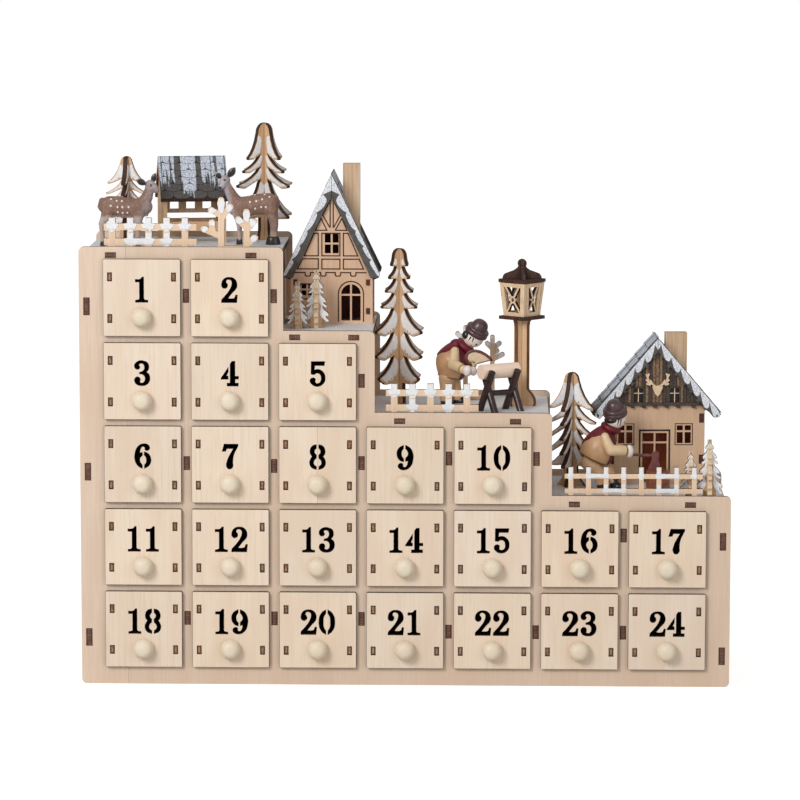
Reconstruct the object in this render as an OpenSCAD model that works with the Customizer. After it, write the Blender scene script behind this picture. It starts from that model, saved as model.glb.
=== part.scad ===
// Wooden advent calendar. A stepped plywood chest holds twenty-four numbered drawers, and a
// winter village of cut plates, turned figures and two deer stands on its four ledges.
// Millimetres. X runs to the right, Y to the back and Z up from the table.

/* [Drawers] */
// Width of a drawer front
front_w = 50; // [46:0.5:60]
// Height of a drawer front
front_h = 50; // [46:0.5:60]
// Thickness of a drawer front
front_t = 3.2; // [2.5:0.1:5]
// How far a front laps past its box on every side
front_lap = 3; // [2:0.1:5]
// Length of a drawer box behind its front
box_d = 108; // [60:1:110]
// Thickness of the box walls
box_wall = 2.7; // [2:0.1:4]
// Thickness of the box floor
box_floor = 2.5; // [1.5:0.1:4]
// Height of the tenons that show in a front
tenon_h = 5.3; // [3:0.1:8]
// Widest diameter of a knob
knob_d = 13.1; // [8:0.1:16]
// How far a knob stands out of its front
knob_reach = 10; // [6:0.1:14]
// Diameter of the peg that holds a knob
peg_d = 4; // [2:0.1:6]

/* [Casing] */
// Space behind the drawer boxes
back_space = 8.95; // [3:0.05:30]
// Thickness of the panels and the shelves
sheet_t = 3.2; // [2.5:0.1:4]
// Thickness of the ledges
ledge_t = 3.6; // [3:0.1:4]
// Thickness of the dividers and the side walls
divider_t = 4; // [3:0.1:5]
// Space between two drawer fronts side by side
gap_across = 6.7; // [5:0.1:10]
// Space between two drawer fronts one above the other
gap_up = 4.25; // [3.5:0.05:8]
// Panel beside the outermost fronts
side_margin = 16; // [13:0.1:24]
// Panel above the topmost front of a low step
top_margin = 9.5; // [8:0.1:14]
// Panel below the lowest fronts
foot_margin = 11.8; // [8:0.1:20]
// Radius of the panels' outer corners
corner_r = 3.5; // [1:0.1:6]
// How far the panels rise above the ledge between them
ledge_lip = 3.2; // [2:0.1:6]
// Height of a divider's tabs
divider_tab = 8.9; // [5:0.1:12]
// Height of a side wall's tabs
wall_tab = 11.4; // [6:0.1:14]
// Width of a ledge's tabs
ledge_tab = 7; // [5:0.1:12]

/* [Fits] */
// Running gap round a drawer box
run_gap = 0.3; // [0.2:0.05:0.6]
// Gap left for glue in a joint
glue_gap = 0.1; // [0.05:0.01:0.15]

/* [Village plates] */
// Thickness of the village's cut plates
ply_t = 3; // [2:0.1:3.6]
// Height of the small fir on the top ledge
small_fir_h = 56; // [40:1:70]
// Half width of its boughs
small_fir_w = 14.5; // [10:0.5:18]
// Height of the broad fir on the top ledge
broad_fir_h = 78; // [60:1:100]
// Half width of its boughs
broad_fir_w = 24; // [18:0.5:26]
// Height of the tall fir on the third ledge
tall_fir_h = 103.5; // [80:1:120]
// Half width of its boughs
tall_fir_w = 21.3; // [16:0.5:25]
// Height of the fir on the lowest ledge
low_fir_h = 76; // [60:1:90]
// Half width of its boughs
low_fir_w = 18; // [14:0.5:20]
// Height of the fences
fence_h = 22; // [14:0.5:30]
// Height of the bare shrubs
shrub_h = 36; // [20:1:50]
// Width of a shrub's branches
branch_w = 4; // [2:0.1:5]

/* [Timber house] */
// Width of the house's front wall
house_w = 54; // [46:0.5:56]
// Depth of the house's walls
house_d = 40; // [30:1:46]
// Height of the gable boards' peak
house_h = 99.4; // [80:1:120]
// Drop of the roof for each unit outwards
house_pitch_share = 2.25; // [1.8:0.01:2.5]
// Width of the gable boards
barge_w = 7.2; // [5:0.1:8]
// Thickness of the roof panels
roof_t = 2.8; // [2:0.1:3.2]

/* [Cabin] */
// Width of the cabin's front wall
cabin_w = 64; // [50:0.5:68]
// Depth of the cabin's walls
cabin_d = 31; // [20:1:32]
// Height of the gable boards' peak
cabin_h = 98.5; // [80:1:120]
// Drop of the roof for each unit outwards
cabin_pitch_share = 1.18; // [1:0.01:1.4]
// Thickness of the dark gable board
gable_t = 2.2; // [1.5:0.1:3]

/* [Lamp and rack] */
// Height of the lamp post
post_h = 57.5; // [40:0.5:70]
// Half width of the post's plates
post_w = 5.5; // [4:0.1:8]
// Height of the lantern's box
lantern_h = 22; // [14:0.1:28]
// Width of the lantern's box at its foot
lantern_w = 17.2; // [12:0.1:20]
// Width of the hay rack
rack_w = 42; // [30:0.5:44]
// Depth of the hay rack
rack_d = 38; // [24:0.5:44]
// Height of the hay rack's ridge
rack_h = 55.5; // [40:0.5:70]

/* [Figures] */
// Height of a deer to the tip of its ears
deer_h = 48; // [36:1:60]
// Radius of a man's head
head_r = 6.2; // [5:0.1:8]
// Radius of a man's coat
coat_r = 10.6; // [8:0.1:12]
// Radius of the log
log_r = 4.9; // [3:0.1:6]
// Length of the log
log_len = 28; // [20:0.5:34]
// Height of the chopping block
block_h = 13; // [8:0.5:16]
// Radius of the chopping block
block_r = 8; // [5:0.1:9]

/* [Hidden] */
$fn = 48;
overrun = 1;
steps = 4;
rows = 5;
row_counts = [2, 3, 5, 7, 7];
dividers = 6;
drawer_count = 24;
body_gap = 0.15;

// How far each step's panel passes its last and its topmost front
reach_shares = [0.59, 0.74, 0.83, 1];
rise_shares = [0.8, 0.82, 0.95, 1];
// Heights of the tabs above the lowest fronts, in rows
divider_tab_shares = [[0.59, 2.47, 4.48], [0.59, 2.44, 4.48], [0.59, 2.48, 3.47],
    [0.44, 2.54], [0.44, 2.54], [0.44, 1.62]];
wall_tab_shares = [[0.35, 2.36, 4.35], [0.16, 1.55]];
ledge_tab_shares = [[0.14, 0.853], [0.188, 0.812], [0.19, 0.818], [0.187, 0.808]];
// How deep each ledge lies between the panels
lip_shares = [1.1, 0.75, 1.15, 1.2];

casing_d = box_d - body_gap + back_space + sheet_t;
col_pitch = front_w + gap_across;
row_pitch = front_h + gap_up;
total_w = 2 * side_margin + row_counts[rows - 1] * col_pitch - gap_across;
left_x = -total_w / 2;
panel_y = knob_reach + front_t + body_gap - (knob_reach + front_t + body_gap + casing_d) / 2;
inner_y = panel_y + sheet_t;
inner_d = casing_d - 2 * sheet_t;
back_y = panel_y + casing_d;
box_w = front_w - 2 * front_lap;
box_h = front_h - 2 * front_lap;
opening_w = box_w + 2 * run_gap;
opening_h = box_h + 2 * run_gap;
wall_inset = 5;
wall_x = -left_x - wall_inset;
ledge_inset = 2;

function gap_x(i) = left_x + side_margin + (i + 1) * col_pitch - gap_across / 2;
function front_x(c) = left_x + side_margin + front_w / 2 + c * col_pitch;
function front_z(r) = foot_margin + front_h / 2 + (rows - 1 - r) * row_pitch;
function step_right(s) = left_x + side_margin * (1 + reach_shares[s])
    + row_counts[s] * col_pitch - gap_across;
function step_top(s) = front_z(s) + front_h / 2 + top_margin * rise_shares[s];
function step_of(i) = [for (s = [0 : steps - 1]) if (row_counts[s] > i) s][0];
function ledge_z(s) = step_top(s) - ledge_lip * lip_shares[s];
function ledge_from(s) = s == 0 ? -wall_x - divider_t / 2
    : gap_x(row_counts[s - 1] - 1) + divider_t / 2;
function ledge_to(s) = s == steps - 1 ? wall_x + divider_t / 2 : step_right(s) - ledge_inset;
function board_z(r) = front_z(r) - opening_h / 2;
function tab_z(share) = foot_margin + share * row_pitch;
// A point on a ledge, from shares of its length and of the depth between the panels
function spot(s, shares) = [ledge_from(s) + shares.x * (ledge_to(s) - ledge_from(s)),
    inner_y + shares.y * inner_d, ledge_z(s)];
function sum_to(list, n) = n == 0 ? 0 : list[n - 1] + sum_to(list, n - 1);
function row_of(n) = [for (r = [0 : rows - 1]) if (sum_to(row_counts, r + 1) >= n) r][0];
function drawer_name(n) = str("drawer_", n < 10 ? "0" : "", n);

// Plates stand in the XZ plane, in the YZ plane or lie flat
module upright(t) rotate([90, 0, 0]) linear_extrude(t, center = true) children();
module sideways(t) rotate([90, 0, 90]) linear_extrude(t, center = true) children();

module rounded(w, h, r) {
    translate([r, 0]) square([w - 2 * r, h]);
    translate([0, r]) square([w, h - 2 * r]);
    for (x = [r, w - r], z = [r, h - r]) translate([x, z]) circle(r);
}

// A round-ended strip from a to b
module strip(a, b, w) {
    translate(a) rotate(atan2(b.y - a.y, b.x - a.x)) translate([0, -w / 2])
        square([norm(b - a), w]);
    translate(b) circle(w / 2);
}

// A twig from a to b, straight-edged, with its far end cut blunt
module twig(a, b, w) {
    reach = norm(b - a);
    translate(a) rotate(atan2(b.y - a.y, b.x - a.x)) polygon([[-w / 5, -w / 3], [0, -w / 2],
        [reach, -w / 2], [reach + w * 0.3, -w / 4], [reach + w * 0.3, w / 4], [reach, w / 2],
        [0, w / 2], [-w / 5, w / 3]]);
}

// A round stick from a to b, flat at both ends
module stick(a, b, r, r_end) {
    d = b - a;
    translate(a) rotate([0, acos(d.z / norm(d)), atan2(d.y, d.x)]) cylinder(norm(d), r, r_end);
}

// A ball at a joint, a little fuller than the sticks that meet in it
module knuckle(at, r) translate(at) sphere(r * 1.06);

// Casing

module stepped_outline() {
    for (s = [0 : steps - 1]) translate([left_x, 0])
        rounded(step_right(s) - left_x, step_top(s), corner_r);
}

module slot(x, z, w, h) {
    translate([x - w / 2 - glue_gap, z - h / 2 - glue_gap])
        square([w + 2 * glue_gap, h + 2 * glue_gap]);
}

module tab_slots() {
    for (i = [0 : dividers - 1]) for (k = divider_tab_shares[i])
        slot(gap_x(i), tab_z(k), divider_t, divider_tab);
    for (side = [0, 1]) for (k = wall_tab_shares[side])
        slot((2 * side - 1) * wall_x, tab_z(k), divider_t, wall_tab);
    for (s = [0 : steps - 1]) for (k = ledge_tab_shares[s])
        slot(spot(s, [k, 0]).x, ledge_z(s) - ledge_t / 2, ledge_tab, ledge_t);
}

module front_panel() color("bisque") translate([0, panel_y + sheet_t / 2, 0]) upright(sheet_t)
    difference() {
        stepped_outline();
        tab_slots();
        for (r = [0 : rows - 1], c = [0 : row_counts[r] - 1])
            translate([front_x(c) - opening_w / 2, board_z(r)]) square([opening_w, opening_h]);
    }

module back_panel() color("burlywood") translate([0, back_y - sheet_t / 2, 0]) upright(sheet_t)
    difference() {
        stepped_outline();
        tab_slots();
    }

// A wall between the panels, with tabs through both
module wall_outline(top, tab_shares, tab_h) {
    translate([inner_y, 0]) square([inner_d, top]);
    for (k = tab_shares) translate([panel_y, tab_z(k) - tab_h / 2]) square([casing_d, tab_h]);
}

module side_walls() color("burlywood") for (side = [0, 1])
    translate([(2 * side - 1) * wall_x, 0, 0]) sideways(divider_t)
        wall_outline(ledge_z(side * (steps - 1)) - ledge_t, wall_tab_shares[side], wall_tab);

// Each shelf is halved over the dividers that it crosses
module dividers() color("burlywood") for (i = [0 : dividers - 1])
    translate([gap_x(i), 0, 0]) sideways(divider_t) difference() {
        wall_outline(ledge_z(step_of(i)) - ledge_t, divider_tab_shares[i], divider_tab);
        for (r = [0 : rows - 1]) if (i < row_counts[r] - 1)
            translate([inner_y + inner_d / 2 - glue_gap, board_z(r) - sheet_t - glue_gap])
                square([inner_d / 2 + glue_gap, sheet_t + 2 * glue_gap]);
    }

module board(r) {
    from = -wall_x + divider_t / 2 + glue_gap;
    to = row_counts[r] > dividers ? -from
        : gap_x(row_counts[r] - 1) - divider_t / 2 - glue_gap;
    translate([0, 0, board_z(r) - sheet_t]) linear_extrude(sheet_t) difference() {
        translate([from, inner_y]) square([to - from, inner_d]);
        for (i = [0 : row_counts[r] - 2])
            translate([gap_x(i) - divider_t / 2 - glue_gap, inner_y - overrun])
                square([divider_t + 2 * glue_gap, inner_d / 2 + glue_gap + overrun]);
    }
}

module shelves() color("burlywood") for (r = [0 : rows - 2]) board(r);
module bottom_board() color("burlywood") board(rows - 1);

module ledges() color("whitesmoke") difference() {
    for (s = [0 : steps - 1]) translate([0, 0, ledge_z(s) - ledge_t]) linear_extrude(ledge_t) {
        translate([ledge_from(s), inner_y])
            square([ledge_to(s) - ledge_from(s), inner_d]);
        for (k = ledge_tab_shares[s]) translate([spot(s, [k, 0]).x - ledge_tab / 2, panel_y])
            square([ledge_tab, casing_d]);
    }
    for (i = [0 : len(fir_angles) - 1]) at_fir(i) for (turn = [0, 90])
        rotate(turn) translate([-foot_tab / 2 - glue_gap, -ply_t / 2 - glue_gap,
            -ledge_t - overrun])
            cube([foot_tab + 2 * glue_gap, ply_t + 2 * glue_gap, ledge_t + 2 * overrun]);
}

// Drawers, drawn about the middle of the front's back face

tenon_share = 0.27;
knob_share = -0.246;
tenon_x = box_w / 2 - box_wall / 2;

module drawer_front() difference() {
    translate([-front_w / 2, -front_t, -front_h / 2]) cube([front_w, front_t, front_h]);
    for (x = [-tenon_x, tenon_x], z = [-1, 1] * tenon_share * front_h)
        translate([0, -front_t / 2, 0]) upright(front_t + 2 * overrun)
            slot(x, z, box_wall, tenon_h);
    translate([0, overrun, knob_share * front_h]) rotate([90, 0, 0])
        cylinder(front_t + 2 * overrun, d = peg_d + 2 * glue_gap);
}

// A turned knob with a round belly and a peg that is glued in the front
module knob() translate([0, -front_t, knob_share * front_h]) rotate([90, 0, 0]) {
    translate([0, 0, glue_gap]) rotate_extrude() polygon(concat([[0, 0], [knob_d * 0.36, 0]],
        [for (a = [-30 : 15 : 90]) [knob_d / 2 * cos(a),
            knob_reach - glue_gap - knob_belly * (1 - sin(a))]]));
    translate([0, 0, -front_t]) cylinder(front_t + overrun, d = peg_d);
}
knob_belly = knob_reach * 0.62;

module drawer_box() {
    for (side = [-1, 1]) {
        translate([side * tenon_x - box_wall / 2, glue_gap, -box_h / 2])
            cube([box_wall, box_d - glue_gap, box_h]);
        for (z = [-1, 1] * tenon_share * front_h)
            translate([side * tenon_x - box_wall / 2, -front_t, z - tenon_h / 2])
                cube([box_wall, front_t + 2 * glue_gap, tenon_h]);
    }
    inner_w = box_w - 2 * box_wall - 2 * glue_gap;
    translate([-inner_w / 2, glue_gap, -box_h / 2])
        cube([inner_w, box_d - box_wall - 2 * glue_gap, box_floor]);
    translate([-inner_w / 2, box_d - box_wall, -box_h / 2]) cube([inner_w, box_wall, box_h]);
}

module drawer(n) {
    r = row_of(n);
    c = n - 1 - sum_to(row_counts, r);
    translate([front_x(c), panel_y - body_gap, front_z(r)]) color("wheat") {
        drawer_front();
        knob();
        drawer_box();
    }
}

// Fir trees: two crossing plates halved into each other, with tabs into the ledge

foot_tab = 9;
fir_head_share = 0.27;
fir_foot_share = 0.1;
fir_lap_share = 0.5;
bough_blunt = 1.4;
sweep_share = 0.3;

// Each fir's step, its spot on the ledge and its turn in degrees
fir_step_counts = [0, 0, 2, 3];
fir_spot_shares = [[0.16, 0.75], [0.878, 0.83], [0.171, 0.66], [0.18, 0.6]];
fir_angles = [-5, 45, 45, -23];

// Boughs from the top down: root, tip and the lobe under the tip, in half widths and heights
broad_boughs_shares = [[0, 0, 0.62, 0.705, 0.45, 0.69], [0.17, 0.739, 0.78, 0.595, 0.6, 0.575],
    [0.17, 0.63, 1, 0.475, 0.78, 0.445], [0.17, 0.525, 0.98, 0.21, 0.62, 0.185]];
tall_boughs_shares = [[0, 0, 0.345, 0.9, 0.2, 0.887], [0.17, 0.882, 0.43, 0.818, 0.25, 0.806],
    [0.19, 0.803, 0.57, 0.733, 0.38, 0.716], [0.26, 0.711, 0.755, 0.634, 0.55, 0.616],
    [0.27, 0.618, 1, 0.475, 0.66, 0.44], [0.26, 0.469, 0.99, 0.318, 0.68, 0.284],
    [0.26, 0.314, 0.88, 0.172, 0.62, 0.128]];
low_boughs_shares = [[0, 0, 0.88, 0.69, 0.68, 0.675], [0.2, 0.725, 0.96, 0.567, 0.76, 0.55],
    [0.2, 0.612, 1, 0.44, 0.8, 0.42], [0.2, 0.515, 1, 0.31, 0.78, 0.29],
    [0.2, 0.38, 0.85, 0.19, 0.6, 0.17]];

// Points along a bough that leaves the trunk steeply and sweeps outwards
function bough(a, b) = let (c = [a.x + (b.x - a.x) * sweep_share, b.y + (a.y - b.y) * sweep_share])
    [for (t = [0 : 0.25 : 1]) a * (1 - t) * (1 - t) + c * 2 * t * (1 - t) + b * t * t];

function fir_side(w, h, head, boughs, trunk, foot) = concat(
    [for (a = [90 : -22.5 : 22.5]) [head * cos(a), h - head + head * sin(a)]],
    [for (i = [0 : len(boughs) - 1]) let (k = boughs[i],
        root = i == 0 ? [head, h - head] : [k[0] * w, k[1] * h], tip = [k[2] * w, k[3] * h])
        each concat(bough(root, tip), [[tip.x - bough_blunt / 3, tip.y - bough_blunt],
            [k[4] * w, k[5] * h]])],
    [[trunk, boughs[len(boughs) - 1][5] * h * 1.05], [trunk, fir_foot_share * h],
        [trunk * foot, 0]]);

module fir_outline(w, h, head, boughs, trunk, foot) {
    side = fir_side(w, h, head, boughs, trunk, foot);
    polygon(concat(side, [for (i = [len(side) - 1 : -1 : 1]) [-side[i].x, side[i].y]]));
}

module at_fir(i) translate(spot(fir_step_counts[i], fir_spot_shares[i])) rotate(fir_angles[i])
    children();

module fir(i, w, h, boughs, foot) at_fir(i) {
    lap = ply_t + 2 * glue_gap;
    for (plate = [0, 1]) rotate(90 * plate) upright(ply_t) difference() {
        union() {
            fir_outline(w, h, fir_head_share * w, boughs, foot_tab / 2, foot);
            translate([-foot_tab / 2, -ledge_t]) square([foot_tab, ledge_t + overrun]);
        }
        if (plate == 0) translate([-lap / 2, -ledge_t - overrun])
            square([lap, ledge_t + overrun + fir_lap_share * h]);
        else translate([-lap / 2, fir_lap_share * h - glue_gap])
            square([lap, h * fir_lap_share + glue_gap + overrun]);
    }
}

module fir_tree_small() color("tan")
    fir(0, small_fir_w, small_fir_h, low_boughs_shares, 1.1);
module fir_tree_broad() color("tan")
    fir(1, broad_fir_w, broad_fir_h, broad_boughs_shares, 1.2);
module fir_tree_tall() color("tan")
    fir(2, tall_fir_w, tall_fir_h, tall_boughs_shares, 1.1);
module fir_tree_low() color("tan")
    fir(3, low_fir_w, low_fir_h, low_boughs_shares, 2.2);

// Single snowy plates: step, spot, height and half width
small_firs_shares = [[1, [0.188, 0.3], 0.85], [1, [0.386, 0.35], 1.05],
    [3, [0.813, 0.115], 0.86], [3, [0.912, 0.075], 1.1]];
plate_fir_h = 36;
plate_fir_w = 7.8;
plate_boughs_shares = [[0, 0, 0.42, 0.76, 0.25, 0.755], [0.2, 0.74, 0.72, 0.55, 0.5, 0.54],
    [0.25, 0.54, 0.9, 0.34, 0.65, 0.32], [0.3, 0.32, 1, 0.14, 0.7, 0.12]];

module small_firs() color("gainsboro") for (f = small_firs_shares)
    translate(spot(f[0], f[1])) upright(ply_t) fir_outline(plate_fir_w * f[2], plate_fir_h * f[2],
        plate_fir_w * f[2] / 8, plate_boughs_shares, plate_fir_w * f[2] / 2, 1.3);

// Fences stand close behind the front panel

fence_inset = 1.5;
rail_shares = [0.29, 0.73];

module fence(s, start_share, length, pickets, bar) {
    at = spot(s, [start_share, 0]);
    translate([at.x, inner_y + fence_inset + ply_t / 2, at.z]) upright(ply_t) {
        for (i = [0 : pickets - 1])
            translate([bar + i * (length - 3 * bar) / (pickets - 1) - bar / 4, 0])
                square([bar, fence_h]);
        for (k = rail_shares) translate([0, k * fence_h - bar / 2]) square([length, bar]);
    }
}

wide_fence_l = 60;
long_fence_l = 89.5;
wide_bar = 4.3;
slim_bar = 3.2;
module fence_upper() color("wheat") fence(0, 0.103, wide_fence_l, 5, wide_bar);
module fence_middle() color("wheat") fence(2, 0.114, wide_fence_l, 5, wide_bar);
module fence_lower() color("wheat") fence(3, 0.135, long_fence_l, 8, slim_bar);

// Shrubs: branches as twigs, in shares of the shrub's height

twin_shrub_shares = [[0, 0, 0, 0.95], [0, 0.66, -0.2, 0.76], [0, 0.6, 0.175, 0.83],
    [0, 0.28, -0.33, 0.42], [-0.15, 0.34, -0.17, 0.55], [0.455, 0, 0.455, 0.74],
    [0.455, 0.44, 0.29, 0.6], [0.455, 0.39, 0.6, 0.56], [0.455, 0.14, 0.62, 0.27],
    [0, 0.055, 0.455, 0.055]];
bare_shrub_shares = [[0, 0, 0, 1.18], [0, 0.95, 0.14, 1.06], [0, 0.95, -0.11, 1.06],
    [0, 0.86, 0.1, 0.92], [0, 0.75, 0.2, 0.85], [-0.5, 0, -0.5, 1.36], [-0.5, 1.08, -0.66, 1.24],
    [-0.5, 0.055, 0, 0.055]];

module shrub(at, parts, w) translate(at) upright(ply_t) {
    for (k = parts)
        twig([k[0], k[1]] * shrub_h, [k[2], k[3]] * shrub_h, w);
}

// The strips on the ground are cut level with the ledge
module level_shrub(at, parts, w) intersection() {
    shrub(at, parts, w);
    translate([at.x - 2 * shrub_h, at.y - ply_t, at.z])
        cube([4 * shrub_h, 2 * ply_t, 2 * shrub_h]);
}

module shrubs() color("tan") {
    level_shrub(spot(0, [0.7, 0.027]), twin_shrub_shares, branch_w);
    level_shrub(spot(2, [0.69, 0.84]), bare_shrub_shares, branch_w * 0.8);
}

// Roofs: a pair of slopes about x = 0, each from the ridge to the eaves

function slope_z(peak, pitch, x) = peak - pitch * abs(x);
function steep(pitch) = sqrt(1 + pitch * pitch);

module slope(peak, pitch, run, t) polygon([
    [glue_gap, slope_z(peak, pitch, glue_gap)],
    [run, slope_z(peak, pitch, run)],
    [run - t * pitch / steep(pitch), slope_z(peak, pitch, run) - t / steep(pitch)],
    [glue_gap, slope_z(peak, pitch, glue_gap) - t * steep(pitch)]]);

module slopes(peak, pitch, run, t) for (side = [0, 1]) mirror([side, 0])
    slope(peak, pitch, run, t);

// A gable board, plumb at the ridge and square or round at its foot, with teeth underneath
module barge(peak, pitch, run, w, round_foot, teeth) {
    foot = round_foot ? run - w / 2 / steep(pitch) : run;
    slope(peak, pitch, foot, w);
    if (round_foot) translate([foot - w / 2 * pitch / steep(pitch),
        slope_z(peak, pitch, foot) - w / 2 / steep(pitch)]) circle(w / 2);
    if (teeth > 0) for (i = [0 : teeth - 1]) {
        x = run * (i + 0.5) / teeth * tooth_span_share;
        translate([x, slope_z(peak, pitch, x) - w * steep(pitch)])
            polygon([[-w / 3, 0], [w / 4, 0], [0, -w * 0.3 - w * 0.15 * (i % 2)]]);
    }
}
tooth_span_share = 0.8;

module barges(peak, pitch, run, w, round_foot, teeth) for (side = [0, 1]) mirror([side, 0])
    barge(peak, pitch, run, w, round_foot, teeth);

// Gable wall: plumb sides up to the roof
module gable_wall(w, peak, pitch) polygon([[-w / 2, 0], [w / 2, 0],
    [w / 2, slope_z(peak, pitch, w / 2)], [0, peak], [-w / 2, slope_z(peak, pitch, w / 2)]]);

// Panes between bars: a grid of holes in a window of the given size
module panes(w, h, across, up, bar) for (i = [0 : across - 1], j = [0 : up - 1])
    translate([-w / 2 + i * (w + bar) / across, j * (h + bar) / up])
        square([(w + bar) / across - bar, (h + bar) / up - bar]);

// Timber house

house_at = spot(1, [0.537, 0.705]);
roof_drop = 1;
house_tip = 30.2;
pane_bar = 1.2;
house_tab_h = 4.4;
arch_r = 6.4;
arch_h = 24;
house_roof_peak = house_h - roof_drop;
house_wall_peak = house_roof_peak - roof_t * steep(house_pitch_share) - glue_gap;
house_eaves = slope_z(house_wall_peak, house_pitch_share, house_w / 2);
house_tabs_shares = [0.28, 0.9];
house_window_share = 0.517;
arch_share = 0.235;
pair_share = -0.3;

module arched_window() {
    difference() {
        union() {
            translate([-arch_r, 0]) square([2 * arch_r, arch_h - arch_r]);
            translate([0, arch_h - arch_r]) circle(arch_r);
        }
        translate([-pane_bar / 2, 0]) square([pane_bar, arch_h]);
        translate([-arch_r, arch_h - arch_r - pane_bar]) square([2 * arch_r, pane_bar]);
    }
}

module house_tab_slots() for (side = [-1, 1], k = house_tabs_shares)
    slot(side * (house_w / 2 - ply_t), k * house_eaves, ply_t, house_tab_h);

module timber_house_walls() color("burlywood") translate(house_at) {
    for (y = [ply_t / 2, house_d - ply_t / 2]) translate([0, y - house_d / 2, 0]) upright(ply_t)
        difference() {
            gable_wall(house_w, house_wall_peak, house_pitch_share);
            house_tab_slots();
            if (y < house_d / 2) {
                translate([0, house_h * (house_window_share - 0.045)]) panes(9.2 * house_w / 54,
                    12.8 * house_h / 99.4, 2, 2, pane_bar);
                translate([house_w * arch_share, pane_bar * 2]) arched_window();
                translate([house_w * pair_share, house_eaves * 0.62])
                    panes(house_w / 7, house_w / 7, 2, 2, pane_bar);
            }
        }
    for (side = [-1, 1]) translate([side * (house_w / 2 - ply_t), 0, 0]) sideways(ply_t) {
        translate([-house_d / 2 + ply_t + glue_gap, 0])
            square([house_d - 2 * ply_t - 2 * glue_gap, house_eaves - glue_gap]);
        for (k = house_tabs_shares) translate([-house_d / 2, k * house_eaves - house_tab_h / 2])
            square([house_d, house_tab_h]);
    }
}

module timber_house_roof() color("dimgray") translate(house_at) {
    upright(house_d) slopes(house_roof_peak, house_pitch_share, house_tip, roof_t);
    for (side = [-1, 1]) translate([0, side * (house_d / 2 + ply_t / 2 + glue_gap), 0])
        upright(ply_t) barges(house_h, house_pitch_share, house_tip, barge_w, false, 0);
}

// Cabin

cabin_at = spot(3, [0.642, 0.805]);
cabin_turn = 3;
cabin_tip = 43;
cabin_barge_w = 5.9;
cabin_roof_peak = cabin_h - roof_drop;
cabin_wall_peak = cabin_roof_peak - roof_t * steep(cabin_pitch_share) - glue_gap;
cabin_eaves = slope_z(cabin_wall_peak, cabin_pitch_share, cabin_w / 2);
cabin_tab_h = 6;
cabin_tabs_shares = [0.3, 0.8];
window_w = 9.6;
window_h = 13;
door_w = 16.5;
door_h = 32;

module at_cabin() translate(cabin_at) rotate(cabin_turn) children();

module cabin_walls() color("burlywood") at_cabin() {
    for (y = [ply_t / 2, cabin_d - ply_t / 2]) translate([0, y - cabin_d / 2, 0]) upright(ply_t)
        difference() {
            gable_wall(cabin_w, cabin_wall_peak, cabin_pitch_share);
            for (side = [-1, 1], k = cabin_tabs_shares)
                slot(side * (cabin_w / 2 - ply_t), k * cabin_eaves, ply_t, cabin_tab_h);
            if (y < cabin_d / 2) {
                for (side = [-1, 1]) translate([side * cabin_w * 0.305, cabin_eaves * 0.48])
                    panes(window_w, window_h, 2, 2, pane_bar);
                translate([0, pane_bar]) panes(door_w, door_h, 2, 2, pane_bar);
            }
        }
    for (side = [-1, 1]) translate([side * (cabin_w / 2 - ply_t), 0, 0]) sideways(ply_t) {
        translate([-cabin_d / 2 + ply_t + glue_gap, 0])
            square([cabin_d - 2 * ply_t - 2 * glue_gap, cabin_eaves - glue_gap]);
        for (k = cabin_tabs_shares) translate([-cabin_d / 2, k * cabin_eaves - cabin_tab_h / 2])
            square([cabin_d, cabin_tab_h]);
    }
}

gable_y = -cabin_d / 2 - glue_gap - gable_t / 2;
gable_teeth = 9;
gable_half = cabin_w * 0.49;

module cabin_gable() color("saddlebrown") at_cabin() {
    foot = slope_z(cabin_wall_peak, cabin_pitch_share, gable_half);
    translate([0, gable_y, 0]) upright(gable_t) difference() {
        union() {
            polygon([[-gable_half, foot], [gable_half, foot], [0, cabin_wall_peak]]);
            for (i = [0 : gable_teeth - 1])
                strip([(i + 0.5 - gable_teeth / 2) * cabin_w / gable_teeth, foot + pane_bar],
                    [(i + 0.5 - gable_teeth / 2) * cabin_w / gable_teeth, foot - pane_bar],
                    cabin_w / gable_teeth / 3);
        }
        for (side = [-1, 1]) translate([side * cabin_w * 0.187, foot + 2 * pane_bar])
            panes(window_w * 0.7, window_h * 0.85, 2, 2, pane_bar / 2);
    }
}

module cabin_roof() color("dimgray") at_cabin() {
    upright(cabin_d) slopes(cabin_roof_peak, cabin_pitch_share, cabin_tip, roof_t);
    translate([0, gable_y - gable_t / 2 - glue_gap - ply_t / 2, 0]) upright(ply_t)
        barges(cabin_h, cabin_pitch_share, cabin_tip, cabin_barge_w, true, 7);
    translate([0, cabin_d / 2 + ply_t / 2 + glue_gap, 0]) upright(ply_t)
        barges(cabin_h - roof_drop, cabin_pitch_share, cabin_tip, cabin_barge_w, true, 0);
}

// A flat stag's head with antlers, in shares of its width
antlers_w = cabin_w * 0.256;
antler_shares = [[0.1, 0.42, 0.2, 0.5], [0.2, 0.5, 0.36, 0.58], [0.36, 0.58, 0.46, 0.68],
    [0.36, 0.58, 0.41, 0.8], [0.41, 0.8, 0.36, 0.92], [0.41, 0.8, 0.46, 0.9],
    [0.22, 0.52, 0.3, 0.66], [0.3, 0.48, 0.44, 0.52]];

module cabin_antlers() color("linen") at_cabin()
    translate([0, gable_y - gable_t / 2 - glue_gap - gable_t / 2, 0]) upright(gable_t)
        translate([0, slope_z(cabin_wall_peak, cabin_pitch_share, gable_half) + antlers_w * 0.2]) {
            polygon([[0, 0], [0.1, 0.1], [0.22, 0.4], [0.1, 0.44], [-0.1, 0.44], [-0.22, 0.4],
                [-0.1, 0.1]] * antlers_w);
            for (side = [0, 1]) mirror([side, 0]) for (k = antler_shares)
                twig([k[0], k[1]] * antlers_w, [k[2], k[3]] * antlers_w, antlers_w / 14);
        }

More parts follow.
